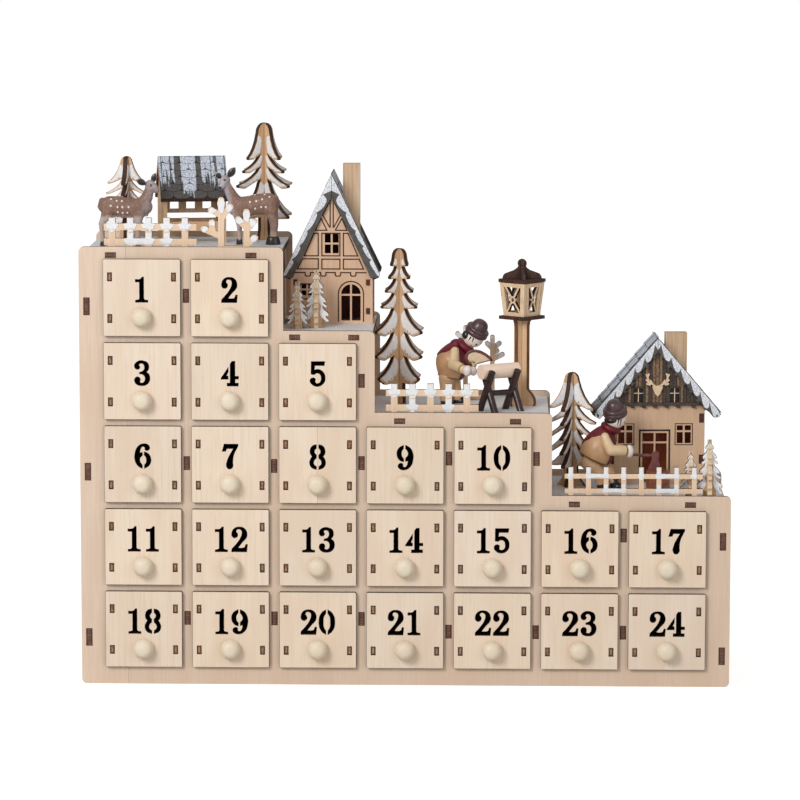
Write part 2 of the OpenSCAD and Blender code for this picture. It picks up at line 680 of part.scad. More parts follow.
house_chimney_w = 11.3;
cabin_chimney_w = 14.4;
chimney_d = 10;
house_chimney_h = 105;
cabin_chimney_h = 100.2;
house_chimney_x = 6.8;
cabin_chimney_x = 6.4;

// A block whose foot is cut to the roof's slope
module chimney(x, w, h, peak, pitch) upright(chimney_d) polygon([
    [x, slope_z(peak, pitch, x)], [x + w, slope_z(peak, pitch, x + w)], [x + w, h], [x, h]]);

module chimneys() color("tan") {
    translate(house_at) chimney(house_chimney_x, house_chimney_w, house_chimney_h,
        house_roof_peak, house_pitch_share);
    at_cabin() chimney(cabin_chimney_x, cabin_chimney_w, cabin_chimney_h, cabin_roof_peak,
        cabin_pitch_share);
}

// Hay rack

rack_at = spot(0, [0.503, 0.72]);
rack_turn = 10;
rack_eave_share = 0.53;
rack_run = rack_d / 2 + ply_t;
rack_pitch_share = rack_h * (1 - rack_eave_share) / rack_run;
rack_peak = rack_h - roof_t * steep(rack_pitch_share) - glue_gap;
rack_board_h = 10.5;
rack_windows = 3;

module hay_rack() color("tan") translate(rack_at) rotate(rack_turn) {
    inner_w = rack_w - 2 * ply_t - 2 * glue_gap;
    for (side = [-1, 1]) translate([side * (rack_w - ply_t) / 2, 0, 0]) sideways(ply_t)
        difference() {
            gable_wall(rack_d, rack_peak, rack_pitch_share);
            translate([-rack_d / 2 + 2 * ply_t, 0])
                square([rack_d - 4 * ply_t, rack_h * 0.34]);
        }
    translate([0, 0, rack_h * 0.34]) upright(ply_t) difference() {
        translate([-inner_w / 2, 0]) square([inner_w, rack_board_h]);
        for (i = [0 : rack_windows - 1])
            translate([(i - 1.35) * inner_w / (rack_windows + 0.3), rack_board_h / 4])
                square([inner_w / 6, rack_board_h / 2]);
    }
    for (side = [-1, 1]) translate([0, side * (rack_d / 2 - 2 * ply_t), 0]) upright(ply_t)
        translate([-inner_w / 2, rack_h * 0.14]) square([inner_w, rack_board_h * 0.6]);
}

module hay_rack_roof() color("dimgray") translate(rack_at) rotate(rack_turn)
    sideways(rack_w + 2 * ply_t / 2) slopes(rack_h, rack_pitch_share, rack_run, roof_t);

// Lamp post and lantern, both of halved plates

lamp_at = spot(2, [0.853, 0.595]);
lamp_turn = -40;
lantern_taper = 2;
lamp_plate_t = 2.2;
post_shares = [[1.35, 1], [1.1, 0.97], [1, 0.92], [1, 0.2], [1.12, 0.18], [1.6, 0.14],
    [2, 0.09], [2.1, 0.04], [1.95, 0]];
cap_shares = [[1, 0], [0.98, 0.12], [0.9, 0.24], [0.68, 0.33], [0.42, 0.42], [0.24, 0.55],
    [0.16, 0.7]];
cap_h = 13;
cap_half = 13;
ball_share = 0.23;

module crossed(t, h, lap_share) {
    lap = t + 2 * glue_gap;
    for (plate = [0, 1]) rotate(90 * plate) upright(t) difference() {
        children();
        if (plate == 0) translate([-lap / 2, -overrun])
            square([lap, overrun + lap_share * h]);
        else translate([-lap / 2, lap_share * h - glue_gap])
            square([lap, h * (1 - lap_share) + glue_gap + overrun]);
    }
}

module both_sides(points) polygon(concat(points,
    [for (i = [len(points) - 1 : -1 : 0]) [-points[i].x, points[i].y]]));

module lamp_post() color("burlywood") translate(lamp_at) rotate(lamp_turn)
    crossed(ply_t, post_h, fir_lap_share)
        both_sides([for (k = post_shares) [k.x * post_w, k.y * post_h]]);

// One side of the lantern: a tapered frame round a saltire and a ring
module lantern_side(w, wide, h) difference() {
    polygon([[-w / 2, 0], [w / 2, 0], [wide / 2, h], [-wide / 2, h]]);
    difference() {
        polygon([[-w * 0.33, h * 0.12], [w * 0.33, h * 0.12], [wide * 0.34, h * 0.88],
            [-wide * 0.34, h * 0.88]]);
        for (side = [-1, 1]) strip([-side * w * 0.34, h * 0.1], [side * w * 0.34, h * 0.9],
            lamp_plate_t * 0.6);
        translate([0, h / 2]) circle(w / 7);
    }
    translate([0, h / 2]) circle(w / 14);
}

module lantern() color("burlywood") translate(lamp_at + [0, 0, post_h]) rotate(lamp_turn) {
    wide = lantern_w + 2 * lantern_taper;
    tilt = atan(lantern_taper / lantern_h);
    base_w = lantern_w + 2 * lamp_plate_t;
    translate([-base_w / 2, -base_w / 2, 0]) cube([base_w, base_w, lamp_plate_t]);
    translate([0, 0, lamp_plate_t + glue_gap]) for (i = [0 : 3]) rotate(90 * i)
        translate([0, -lantern_w / 2, 0]) rotate([tilt, 0, 0])
            translate([0, lamp_plate_t / 2, 0]) upright(lamp_plate_t)
                lantern_side(lantern_w - i % 2 * 2.4 * lamp_plate_t,
                    wide - i % 2 * 2.4 * lamp_plate_t, lantern_h);
    top_w = wide + overrun;
    translate([-top_w / 2, -top_w / 2, lamp_plate_t + lantern_h + 3 * glue_gap])
        cube([top_w, top_w, lamp_plate_t]);
    translate([0, 0, 2 * lamp_plate_t + lantern_h + 4 * glue_gap]) rotate(45)
        crossed(lamp_plate_t, cap_h, fir_lap_share) {
            union() {
                both_sides([for (k = cap_shares) [k.x * cap_half, k.y * cap_h]]);
                translate([0, cap_h * (1 - ball_share)]) circle(cap_h * ball_share);
            }
        }
}

// Deer: rounded bodies blended from balls, in shares of the height, facing +X
// Each ball is along, across, up and radius

deer_balls_shares = [[-0.21, 0, 0.525, 0.145], [0, 0, 0.53, 0.125], [0.21, 0, 0.52, 0.13],
    [0.27, 0, 0.62, 0.08], [0.33, 0, 0.84, 0.082], [0.415, -0.01, 0.77, 0.036]];
deer_runs = [[0, 1], [1, 2], [2, 3], [3, 4], [4, 5]];
ear_root_shares = [[-0.04, -0.04, 0.05, 0.03], [0.01, 0.05, 0.06, 0.03]];
leg_shares = [[-0.25, 0.48, -0.31, 0.3, -0.3, 0.035], [0.2, 0.45, 0.22, 0.24, 0.2, 0.035]];
leg_radius_shares = [0.06, 0.033, 0.028];
leg_side_share = 0.07;
hoof_share = 0.06;
tail_shares = [[-0.32, 0, 0.6, 0.03], [-0.345, 0, 0.48, 0.022]];
// Tips of the ears, from the middle of the head
left_ears_shares = [[-0.19, -0.1, 0.09, 0.022], [0.04, 0.08, 0.15, 0.022]];
right_ears_shares = [[0.1, 0.12, 0.09, 0.022], [-0.1, -0.05, 0.16, 0.022]];

module ball(k) translate([k[0], k[1], k[2]] * deer_h) sphere(k[3] * deer_h, $fn = 16);
module between(a, b) hull() { ball(a); ball(b); }

module deer(ears) {
    head = deer_balls_shares[4];
    for (r = deer_runs) between(deer_balls_shares[r[0]], deer_balls_shares[r[1]]);
    for (i = [0, 1]) between([head[0], head[1], head[2], 0] + ear_root_shares[i],
        [head[0], head[1], head[2], 0] + ears[i]);
    between(tail_shares[0], tail_shares[1]);
    for (k = leg_shares, y = [-1, 1] * leg_side_share) {
        between([k[0], y, k[1], leg_radius_shares[0]], [k[2], y, k[3], leg_radius_shares[1]]);
        between([k[2], y, k[3], leg_radius_shares[1]], [k[4], y, k[5], leg_radius_shares[2]]);
        translate([k[4], y, 0] * deer_h) cylinder(hoof_share * deer_h,
            leg_radius_shares[1] * deer_h, leg_radius_shares[2] * deer_h, $fn = 16);
    }
}

module deer_left() color("rosybrown") translate(spot(0, [0.178, 0.39])) deer(left_ears_shares);
module deer_right() color("rosybrown") translate(spot(0, [0.828, 0.511])) rotate(180)
    scale([0.93, 1, 1.02]) deer(right_ears_shares);

// Turned figures, drawn at the ledge with the feet at the origin

coat_shares = [[0, 0], [0.82, 0], [0.95, 0.35], [1, 0.8], [0.98, 1.2], [0.85, 1.65],
    [0.66, 2], [0.42, 2.3], [0, 2.4]];
scarf_r = 5;
brim_share = 0.34;
brim_lift_share = 0.84;
crown_shares = [[0, 2.56], [0.31, 2.5], [0.57, 2.32], [0.76, 2.05], [0.81, 1.75], [0.8, 1.45],
    [0.88, 1.15], [0.88, 0.5], [0, 0.5]];

module coat(turn) rotate([0, turn, 0]) rotate_extrude()
    polygon([for (k = coat_shares) k * coat_r]);

// The scarf's knot fills the space between coat and head
module scarf(at) translate(at) sphere(scarf_r);

// A round head in a cap with a rolled brim, nodding by the given angle
module man_head(nod) rotate([0, nod, 0]) {
    sphere(head_r);
    rotate_extrude() translate([head_r * 0.95, head_r * brim_lift_share])
        circle(head_r * brim_share);
    rotate_extrude() polygon(crown_shares * head_r);
}

leg_r = 3.8;
boot_r = 2.8;
sleeve_r = 3.5;
hand_r = 3.1;

// A boot: a shaft and a round toe, flat underneath
module boot(at) translate(at) {
    cylinder(boot_r * 2.2, r = boot_r);
    intersection() {
        translate([boot_r, 0, boot_r * 0.5]) sphere(boot_r * 1.08);
        translate([-4, -4, 0] * boot_r) cube([8, 8, 3] * boot_r);
    }
}

module arm(shoulder, elbow, hand) {
    knuckle(shoulder, sleeve_r);
    stick(shoulder, elbow, sleeve_r, sleeve_r * 0.95);
    knuckle(elbow, sleeve_r);
    stick(elbow, elbow + (hand - elbow) * 0.85, sleeve_r * 0.95, sleeve_r * 0.85);
    translate(hand) sphere(hand_r);
}

// Both feet, the foot of the coat, the head and the scarf, then shoulder, elbow and hand
sawyer_places = [[-3, -2.5, 0], [5, 3, 0], [-0.7, 0, 13.5], [15, -2, 42.3], [10, -1, 37.5]];
sawyer_coat_angle = 19;
sawyer_head_angle = 30;
sawyer_hands = [[[4.5, -9.5, 34.5], [1.6, -14, 22], [12, -24.1, 21]],
    [[9, 6, 34], [9, 4, 24], [16, -11, 21.5]]];

sawyer_at = spot(2, [0.452, 0.64]);

module sawyer() color("peru") translate(sawyer_at) {
    for (i = [0, 1]) {
        boot(sawyer_places[i]);
        stick(sawyer_places[i] + [0, 0, boot_r], sawyer_places[2] + [0, (2 * i - 1) * leg_r * 0.7,
            leg_r], leg_r * 0.9, leg_r * 1.2);
    }
    translate(sawyer_places[2]) coat(sawyer_coat_angle);
    translate(sawyer_places[3]) man_head(sawyer_head_angle);
    scarf(sawyer_places[4]);
    for (h = sawyer_hands) arm(h[0], h[1], h[2]);
}

cutter_places = [[-7, -3, 0], [6, 2.5, 0], [-12, 0, 21], [5, -1.5, 44], [2, -0.7, 39]];
cutter_coat_angle = 40;
cutter_head_angle = 8;
cutter_knees = [[-4, -3.5, 12], [5, 3.5, 13.5]];
cutter_hands = [[[-3.5, -9, 35.5], [1.5, -10, 25.4], [13.6, -6, 25]],
    [[1, 7, 34.5], [6, 6, 25.5], [12, 1.8, 24.5]]];

module woodcutter() color("peru") translate(spot(3, [0.385, 0.445])) {
    for (i = [0, 1]) {
        boot(cutter_places[i]);
        stick(cutter_places[i] + [0, 0, boot_r], cutter_knees[i], leg_r * 0.85, leg_r);
        knuckle(cutter_knees[i], leg_r);
        stick(cutter_knees[i], cutter_places[2] + [leg_r, (2 * i - 1) * leg_r, leg_r / 2],
            leg_r * 0.97, leg_r * 1.2);
    }
    translate(cutter_places[2]) coat(cutter_coat_angle);
    translate(cutter_places[3]) man_head(cutter_head_angle);
    scarf(cutter_places[4]);
    for (h = cutter_hands) arm(h[0], h[1], h[2]);
}

// Bow saw: a bent frame and a straight blade, standing beside the hand

saw_t = 2;
saw_l = 19;
saw_h = 18;
// The saw's lower corner, from the sawyer's feet
saw_reach = [8.95, -28.17, 20.3];
module bow_saw() color("saddlebrown") translate(sawyer_at + saw_reach)
    upright(saw_t) {
        strip([saw_t / 2, saw_t / 2], [saw_t / 2, saw_h - saw_l / 2], saw_t);
        strip([saw_l - saw_t / 2, saw_t / 2], [saw_l - saw_t / 2, saw_h - saw_l / 2], saw_t);
        strip([saw_t / 2, saw_t / 2], [saw_l - saw_t / 2, saw_t / 2], saw_t * 0.8);
        intersection() {
            translate([saw_l / 2, saw_h - saw_l / 2]) difference() {
                circle(saw_l / 2);
                circle(saw_l / 2 - saw_t);
            }
            translate([-saw_l, saw_h - saw_l / 2]) square([3 * saw_l, saw_l]);
        }
    }

// Sawhorse: two crosses of round sticks and a rail, seated under the log

horse_at = spot(2, [0.735, 0.32]);
horse_turn = 33;
stick_r = 2.3;
cross_w = 7.4;
cross_h = 27;
cross_gap = 20;
log_z = 26.5;

module sawhorse() color("saddlebrown") translate(horse_at) rotate(horse_turn) difference() {
    intersection() {
        union() {
            for (x = [-0.5, 0.5] * cross_gap, side = [-1, 1])
                stick([x + side * stick_r / 2, -side * cross_w * 1.2, -cross_h * 0.1],
                    [x + side * stick_r / 2, side * cross_w, cross_h], stick_r, stick_r);
            stick([-cross_gap / 2, 0, cross_h * 0.45], [cross_gap / 2, 0, cross_h * 0.45],
                stick_r * 0.8, stick_r * 0.8);
        }
        translate([-cross_gap, -2 * cross_w, 0]) cube([2 * cross_gap, 4 * cross_w, 2 * cross_h]);
    }
    translate([-log_len, 0, log_z]) rotate([0, 90, 0]) cylinder(2 * log_len, r = log_r + glue_gap);
}

module log() color("tan") translate(horse_at) rotate(horse_turn)
    translate([-log_len / 2 - stick_r / 2, 0, log_z]) rotate([0, 90, 0])
        cylinder(log_len, r = log_r);

// Axe on its block

block_at = spot(3, [0.65, 0.443]);
axe_head_shares = [[-0.4, 0], [0.32, 0], [0.22, 0.5], [0.22, 1], [-0.14, 1], [-0.18, 0.5]];
axe_h = 12.4;
haft_r = 1.1;
haft_l = 8.4;

module chopping_block() color("sienna") translate(block_at) cylinder(block_h, r = block_r);

module axe() color("brown") translate(block_at + [-2 * haft_r, 0, block_h]) {
    upright(haft_r * 2.6) polygon(axe_head_shares * axe_h);
    translate([-axe_h * 0.1 - haft_l, 0, axe_h * 0.8]) rotate([0, 90, 0])
        cylinder(haft_l + haft_r, r = haft_r);
}

front_panel();
back_panel();
side_walls();
bottom_board();
ledges();
dividers();
shelves();
for (n = [1 : drawer_count]) drawer(n);
fir_tree_small();
fir_tree_broad();
fir_tree_tall();
fir_tree_low();
fence_upper();
fence_middle();
fence_lower();
shrubs();
small_firs();
hay_rack();
hay_rack_roof();
deer_left();
deer_right();
timber_house_walls();
timber_house_roof();
chimneys();
cabin_walls();
cabin_gable();
cabin_roof();
cabin_antlers();
lamp_post();
lantern();
sawyer();
woodcutter();
bow_saw();
sawhorse();
log();
axe();
chopping_block();
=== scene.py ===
import math
import random

import bmesh
import bpy
from mathutils import Matrix, Vector
from mathutils.bvhtree import BVHTree


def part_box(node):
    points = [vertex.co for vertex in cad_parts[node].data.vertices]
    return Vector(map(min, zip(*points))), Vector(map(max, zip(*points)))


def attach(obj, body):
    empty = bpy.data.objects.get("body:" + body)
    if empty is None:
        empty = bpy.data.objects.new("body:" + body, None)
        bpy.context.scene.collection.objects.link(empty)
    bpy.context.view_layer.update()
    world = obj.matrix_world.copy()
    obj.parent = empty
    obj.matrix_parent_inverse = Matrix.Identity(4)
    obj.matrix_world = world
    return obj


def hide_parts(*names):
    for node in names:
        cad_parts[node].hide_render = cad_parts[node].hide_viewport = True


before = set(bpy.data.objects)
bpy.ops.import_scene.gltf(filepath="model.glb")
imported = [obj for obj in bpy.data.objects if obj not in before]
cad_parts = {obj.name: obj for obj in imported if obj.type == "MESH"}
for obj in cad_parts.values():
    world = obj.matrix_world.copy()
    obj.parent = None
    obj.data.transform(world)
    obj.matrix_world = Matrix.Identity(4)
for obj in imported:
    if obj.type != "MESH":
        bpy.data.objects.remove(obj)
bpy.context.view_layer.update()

# Millimetres are turned into metres where a mesh or a pattern is made
mm = 0.001
across, deep, high = Vector((1, 0, 0)), Vector((0, 1, 0)), Vector((0, 0, 1))
print("frame loaded:", len(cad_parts), "nodes")


# Shader writing: a Wire is one output socket, and sums of wires add Math nodes

class Wire:
    def __init__(self, finish, socket):
        self.finish, self.socket = finish, socket

    def math(self, operation, *values):
        return self.finish.node("ShaderNodeMath", {"operation": operation}, values)

    def __add__(self, other):
        return self.math("ADD", self, other)

    def __sub__(self, other):
        return self.math("SUBTRACT", self, other)

    def __rsub__(self, other):
        return self.math("SUBTRACT", other, self)

    def __mul__(self, other):
        return self.math("MULTIPLY", self, other)

    def __gt__(self, other):
        return self.math("GREATER_THAN", self, other)

    def __lt__(self, other):
        return self.math("LESS_THAN", self, other)

    def __abs__(self):
        return self.math("ABSOLUTE", self)

    __radd__ = __add__
    __rmul__ = __mul__

    # 0 below low, 1 above high, smooth between
    def ramp(self, low, high):
        return self.finish.node("ShaderNodeMapRange", {"interpolation_type": "SMOOTHSTEP"},
                                [self, low, high, 0.0, 1.0])


def colour(*shown):
    # Values 0 to 255 as a picture shows them
    parts = [value / 255 for value in shown]
    return (*[v / 12.92 if v <= 0.04045 else ((v + 0.055) / 1.055) ** 2.4 for v in parts], 1.0)


class Finish:
    def __init__(self, name):
        self.material = bpy.data.materials.new(name)
        self.material.use_nodes = True
        self.tree = self.material.node_tree
        self.shader = self.tree.nodes["Principled BSDF"]

    # Settings come first, then the values or wires of the sockets
    def node(self, kind, settings, values, output=0):
        made = self.tree.nodes.new(kind)
        for key, value in settings.items():
            setattr(made, key, value)
        for key, value in values.items() if isinstance(values, dict) else enumerate(values):
            self.feed(made.inputs[key], value)
        return Wire(self, made.outputs[output])

    def feed(self, socket, value):
        if isinstance(value, Wire):
            self.tree.links.new(value.socket, socket)
        else:
            socket.default_value = value

    # Object coordinates about a centre in mm, turned by degrees, in units of the given sizes
    def place(self, size, centre=(0, 0, 0), turn=0.0, tip=0.0):
        spot = self.node("ShaderNodeTexCoord", {}, [], "Object")
        return self.node("ShaderNodeMapping", {"vector_type": "TEXTURE"},
                         {"Vector": spot, "Location": Vector(centre) * mm,
                          "Rotation": (0.0, math.radians(tip), math.radians(turn)),
                          "Scale": (size,) * 3 if isinstance(size, (int, float)) else size})

    def noise(self, size, detail=4.0, rough=0.55, twist=0.0, where=()):
        return self.node("ShaderNodeTexNoise", {},
                         {"Vector": self.place(size, *where), "Scale": 1.0, "Detail": detail,
                          "Roughness": rough, "Distortion": twist})

    def cells(self, size):
        return self.node("ShaderNodeTexVoronoi", {}, {"Vector": self.place(size), "Scale": 1.0})

    def parts(self, centre=(0, 0, 0), turn=0.0):
        split = self.node("ShaderNodeSeparateXYZ", {}, [self.place(1, centre, turn)]).socket.node
        return [Wire(self, split.outputs[i]) for i in range(3)]

    # 1 where the surface looks along plus or minus the direction
    def facing(self, direction):
        normal = self.node("ShaderNodeTexCoord", {}, [], "Normal")
        dot = self.node("ShaderNodeVectorMath", {"operation": "DOT_PRODUCT"},
                        [normal, tuple(direction)], "Value")
        return abs(dot).ramp(0.9, 0.96)

    # Three numbers are a colour as a picture shows it
    def mix(self, first, second, factor):
        tones = [tone if isinstance(tone, Wire) or len(tone) > 3 else colour(*tone)
                 for tone in (first, second)]
        return self.node("ShaderNodeMix", {"data_type": "RGBA"}, {0: factor, 6: tones[0], 7: tones[1]}, 2)

    def bump(self, height, distance, strength=1.0):
        return self.node("ShaderNodeBump", {}, {"Height": height, "Distance": distance,
                                                "Strength": strength})

    def done(self, **sockets):
        for name, value in sockets.items():
            self.feed(self.shader.inputs[name.replace("_", " ")], value)
        return self.material


# Wood: streaks along the grain, slow drifts of tone and burnt edges where the beam cut it

birchLook = {
    "pale": (235, 216, 194), "deep": (217, 192, 165), "tint": (226, 200, 175), "fleck": (196, 160, 128),
    "burnt": (52, 32, 22), "scorch": (106, 66, 44), "fibre": (0.0011, 0.0011, 0.03),
    "cloud": (0.02, 0.02, 0.07), "grain": 0.5, "drift": 0.6, "rough": 0.58,
}
panelLook = dict(birchLook, pale=(226, 202, 180), deep=(206, 178, 152), tint=(217, 189, 164), grain=0.45)
warmLook = dict(birchLook, pale=(214, 180, 142), deep=(180, 138, 98), tint=(200, 160, 122),
                fleck=(150, 105, 70), burnt=(38, 20, 13), scorch=(84, 44, 26), grain=0.6)


def woodFinish(name, look, faces=(), centre=(0, 0, 0), turn=0.0, half=0.0, seam=None, paintedShadeInside=None):
    wood = Finish(name)
    where = (centre, turn)
    fibre = Vector(look["fibre"])
    streaks = wood.noise(fibre, 6.0, 0.6, 0.4, where)
    fine = wood.noise(fibre * 0.35, 3.0, 0.5, 0.0, where)
    clouds = wood.noise(look["cloud"], 2.0, 0.5, 0.0, where)
    tone = wood.mix(look["pale"], look["deep"], streaks.ramp(0.4, 0.72) * look["grain"])
    tone = wood.mix(tone, look["tint"], clouds.ramp(0.38, 0.66) * look["drift"])
    tone = wood.mix(tone, look["fleck"], fine.ramp(0.66, 0.8) * 0.28)
    if seam is not None:
        # Two sheets of veneer meet at an upright line, with one a little darker
        beside = wood.parts()[0] - seam * mm
        tone = wood.mix(tone, look["deep"], (beside > 0) * 0.3)
        tone = wood.mix(tone, look["scorch"], (abs(beside) < 0.00011) * 0.5)
    rough = streaks * 0.12 + (look["rough"] - 0.06)
    if paintedShadeInside:
        # Painted shade: the unlit inside of a house gets a darker red-brown in place of its shade
        spots = wood.parts(*where)
        within = [abs(spots[i]) < paintedShadeInside[i] * mm for i in (0, 1)]
        tone = wood.mix(tone, paintedShadeInside[2], within[0] * within[1])
    if faces:
        flats = [wood.facing(face) for face in faces]
        if len(faces) == 2:
            # An upright edge of one crossing plate looks along the other plate's face
            flats = [flat * (abs(spot) > half * mm) for flat, spot in zip(flats, wood.parts(*where))]
        flat = sum(flats[1:], flats[0])
        tone = wood.mix(wood.mix(look["burnt"], look["scorch"], fine.ramp(0.35, 0.75)), tone, flat)
        rough = rough + (1 - flat) * 0.12
    return wood.done(Base_Color=tone, Roughness=rough, Normal=wood.bump(streaks, 0.00012, 0.5))


def turned(angle, x=1.0, y=0.0):
    return Matrix.Rotation(math.radians(angle), 4, "Z") @ Vector((x, y, 0))


def crossedWood(name, look, at, turn=0.0, half=0.0, paintedShadeInside=None):
    # Upright plates that cross, or a house's four walls
    return woodFinish(name, look, [turned(turn, 0, 1), turned(turn)], at, turn, half, paintedShadeInside=paintedShadeInside)


def snowFinish(name, pale, deep, grit):
    snow = Finish(name)
    grains = snow.cells(grit)
    lumps = snow.noise(0.0016)
    tone = snow.mix(pale, deep, grains.ramp(0.25, 0.75) * 0.55)
    tone = snow.mix(tone, pale, lumps.ramp(0.5, 0.7) * 0.6)
    return snow.done(Base_Color=tone, Roughness=0.5 - grains * 0.2,
                     Normal=snow.bump(grains + lumps * 2, 0.0002, 0.7))


def paintFinish(name, pale, deep, rough=0.42, drift=0.5, size=0.004, coat=0.0):
    paint = Finish(name)
    fine = paint.noise(size / 9, 3.0)
    tone = paint.mix(pale, deep, paint.noise(size).ramp(0.35, 0.7) * drift)
    return paint.done(Base_Color=tone, Roughness=fine * 0.15 + (rough - 0.07), Coat_Weight=coat,
                      Normal=paint.bump(fine, 0.00005, 0.6))


# Paints and plain tones: pale, deep, roughness, how much they drift, the drifts' size, coat
roofTones = [(86, 82, 79), (58, 54, 52)]
paints = {
    "burntEdge": ((60, 36, 25), (34, 20, 15), 0.75, 0.9, 0.002),
    "barePly": ((226, 200, 168), (200, 168, 132), 0.6, 0.5, 0.002),
    "tabRim": ((84, 48, 34), (56, 30, 22), 0.75, 0.9, 0.0012),
    "tabWood": ((150, 106, 84), (88, 54, 40), 0.7, 0.9, 0.003),
    "tenonWood": ((172, 130, 100), (104, 66, 48), 0.7, 0.9, 0.0014),
    "roofPaint": (*roofTones, 0.6, 0.7, 0.003),
    "darkTabs": ((84, 46, 30), (44, 22, 16), 0.75, 0.9, 0.0012),
    "blackPane": ((26, 12, 10), (14, 6, 6), 0.5, 0.5, 0.003),
    "darkBoards": ((80, 66, 56), (46, 36, 30), 0.7, 0.9, 0.0012),
    "paleBoards": ((142, 114, 86), (84, 62, 46), 0.7, 0.9, 0.0014),
    "creamDots": ((240, 234, 224), (222, 212, 200), 0.5, 0.3),
    "blackPaint": ((30, 26, 26), (16, 14, 14), 0.3, 0.5, 0.003, 0.3),
    "capePaint": ((112, 12, 30), (66, 6, 18), 0.5, 0.7, 0.004, 0.08),
    "sleevePaint": ((226, 198, 158), (210, 178, 134), 0.45, 0.5, 0.005, 0.1),
    "mittenPaint": ((240, 228, 224), (222, 206, 200), 0.42, 0.5, 0.003, 0.15),
    "skinPaint": ((248, 236, 228), (238, 220, 210), 0.4, 0.5, 0.004, 0.15),
    "capPaint": ((84, 58, 62), (56, 36, 40), 0.36, 0.6, 0.005, 0.3),
    "mouthPaint": ((222, 120, 130), (206, 98, 110), 0.4, 0.4),
    "trouserPaint": ((204, 168, 130), (182, 142, 104), 0.45, 0.5, 0.005, 0.1),
    "hemPaint": ((110, 86, 44), (78, 60, 32), 0.5, 0.5),
}
for name, values in paints.items():
    paintFinish(name, *values)
snowFinish("snowPaint", (246, 245, 245), (206, 207, 211), 0.00045)
snowFinish("glitterSnow", (240, 242, 246), (140, 148, 162), 0.0008)
print("first finishes made")


# Meshes

def placed(name, data):
    holder = bpy.data.objects.new(name, data)
    bpy.context.scene.collection.objects.link(holder)
    return holder


def paintMesh(mesh, finishes):
    # Finishes are materials or their names
    # Clearing an empty list would still set each face back to the first finish
    if len(mesh.materials):
        mesh.materials.clear()
    for finish in finishes:
        mesh.materials.append(bpy.data.materials[finish] if isinstance(finish, str) else finish)


def link(name, mesh, finishes, body="casing", stands=None):
    piece = placed(name, mesh)
    paintMesh(mesh, finishes)
    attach(piece, body)
    if stands:
        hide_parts(stands)


def paintNode(node, finish):
    paintMesh(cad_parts[node].data, [finish])


def meshFrom(made, index=None, smooth=False):
    # Ends a bmesh as a mesh: with an index, all its faces get that finish and shading
    if index is not None:
        for face in made.faces:
            face.material_index = index
            face.smooth = smooth
    mesh = bpy.data.meshes.new("part")
    made.to_mesh(mesh)
    made.free()
    return mesh


def opened(mesh):
    made = bmesh.new()
    made.from_mesh(mesh)
    return made


def baked(holder):
    # What the holder's modifiers make of it, as a plain mesh
    seen = bpy.context.evaluated_depsgraph_get()
    mesh = bpy.data.meshes.new_from_object(holder.evaluated_get(seen), depsgraph=seen)
    bpy.data.objects.remove(holder)
    return mesh


def move(x, y, z):
    return Matrix.Translation(Vector((x, y, z)) * mm)


def spin(angle, axis="Z"):
    return Matrix.Rotation(math.radians(angle), 4, axis)


def looking(way):
    return Vector(way).to_track_quat("Z", "Y").to_matrix().to_4x4()


def standing(x, y, z, turn=0.0):
    # Takes a sheet's own x, y and thickness to an upright plate facing the front
    return move(x, y, z) @ spin(turn) @ spin(90, "X")


def polar(radius, angle):
    return radius * math.cos(math.radians(angle)), radius * math.sin(math.radians(angle))


def flipped(loop, side):
    # The loop mirrored where side is -1, and run the other way round to match
    return [(p[0] * side, *p[1:]) for p in loop][::-side]


def cutSheet(loops, thickness, rim=0.2, steps=6):
    # Loops are outlines and holes in mm: a point is x, y, with a third number where it is round
    curve = bpy.data.curves.new("sheet", "CURVE")
    curve.dimensions = "2D"
    curve.fill_mode = "BOTH"
    curve.resolution_u = steps
    curve.extrude = (thickness / 2 - rim) * mm
    curve.bevel_depth = rim * mm
    curve.bevel_resolution = 0
    curve.offset = -rim * mm
    for loop in loops:
        spline = curve.splines.new("BEZIER")
        spline.bezier_points.add(len(loop) - 1)
        for point, spot in zip(spline.bezier_points, loop):
            point.co = (spot[0] * mm, spot[1] * mm, 0)
            kind = "AUTO" if len(spot) > 2 else "VECTOR"
            point.handle_left_type = point.handle_right_type = kind
        spline.use_cyclic_u = True
    holder = bpy.data.objects.new("sheet", curve)
    made = opened(bpy.data.meshes.new_from_object(holder))
    bpy.data.objects.remove(holder)
    bmesh.ops.remove_doubles(made, verts=made.verts, dist=0.002 * mm)
    for face in made.faces:
        face.material_index = 0 if abs(face.normal.z) > 0.99 else 1
        face.smooth = False
    return meshFrom(made)


def joined(parts):
    # One mesh from (mesh, matrix) pairs, with each mesh's material indices kept
    whole = bmesh.new()
    for mesh, matrix in parts:
        mesh.transform(matrix)
        whole.from_mesh(mesh)
        bpy.data.meshes.remove(mesh)
    return meshFrom(whole)


def slabs(boxes, rim=0.15, index=0, matrix=Matrix()):
    # Boxes as (low corner, high corner) in mm, with softened edges
    made = bmesh.new()
    for low, high in boxes:
        low, high = Vector(low), Vector(high)
        size = Matrix.Diagonal((*((high - low) * mm), 1))
        bmesh.ops.create_cube(made, size=1.0, matrix=move(*(low + high) / 2) @ size)
    bmesh.ops.bevel(made, geom=made.edges[:], offset=rim * mm, segments=2, profile=0.6,
                    affect="EDGES", clamp_overlap=True)
    made.transform(matrix)
    return meshFrom(made, index)


def lathe(profile, steps=40, index=0):
    # A closed turning about z from (radius, height) points in mm that start and end on the axis
    made = bmesh.new()
    rings = [[made.verts.new((*polar(radius * mm, 360 * i / steps), height * mm))
              for i in range(steps if radius else 1)] for radius, height in profile]
    for lower, upper in zip(rings, rings[1:]):
        for i in range(steps):
            ring = [lower[i % len(lower)], lower[(i + 1) % len(lower)],
                    upper[(i + 1) % len(upper)], upper[i % len(upper)]]
            corners = list(dict.fromkeys(ring))
            if len(corners) > 2:
                made.faces.new(corners)
    bmesh.ops.recalc_face_normals(made, faces=made.faces)
    return meshFrom(made, index, True)


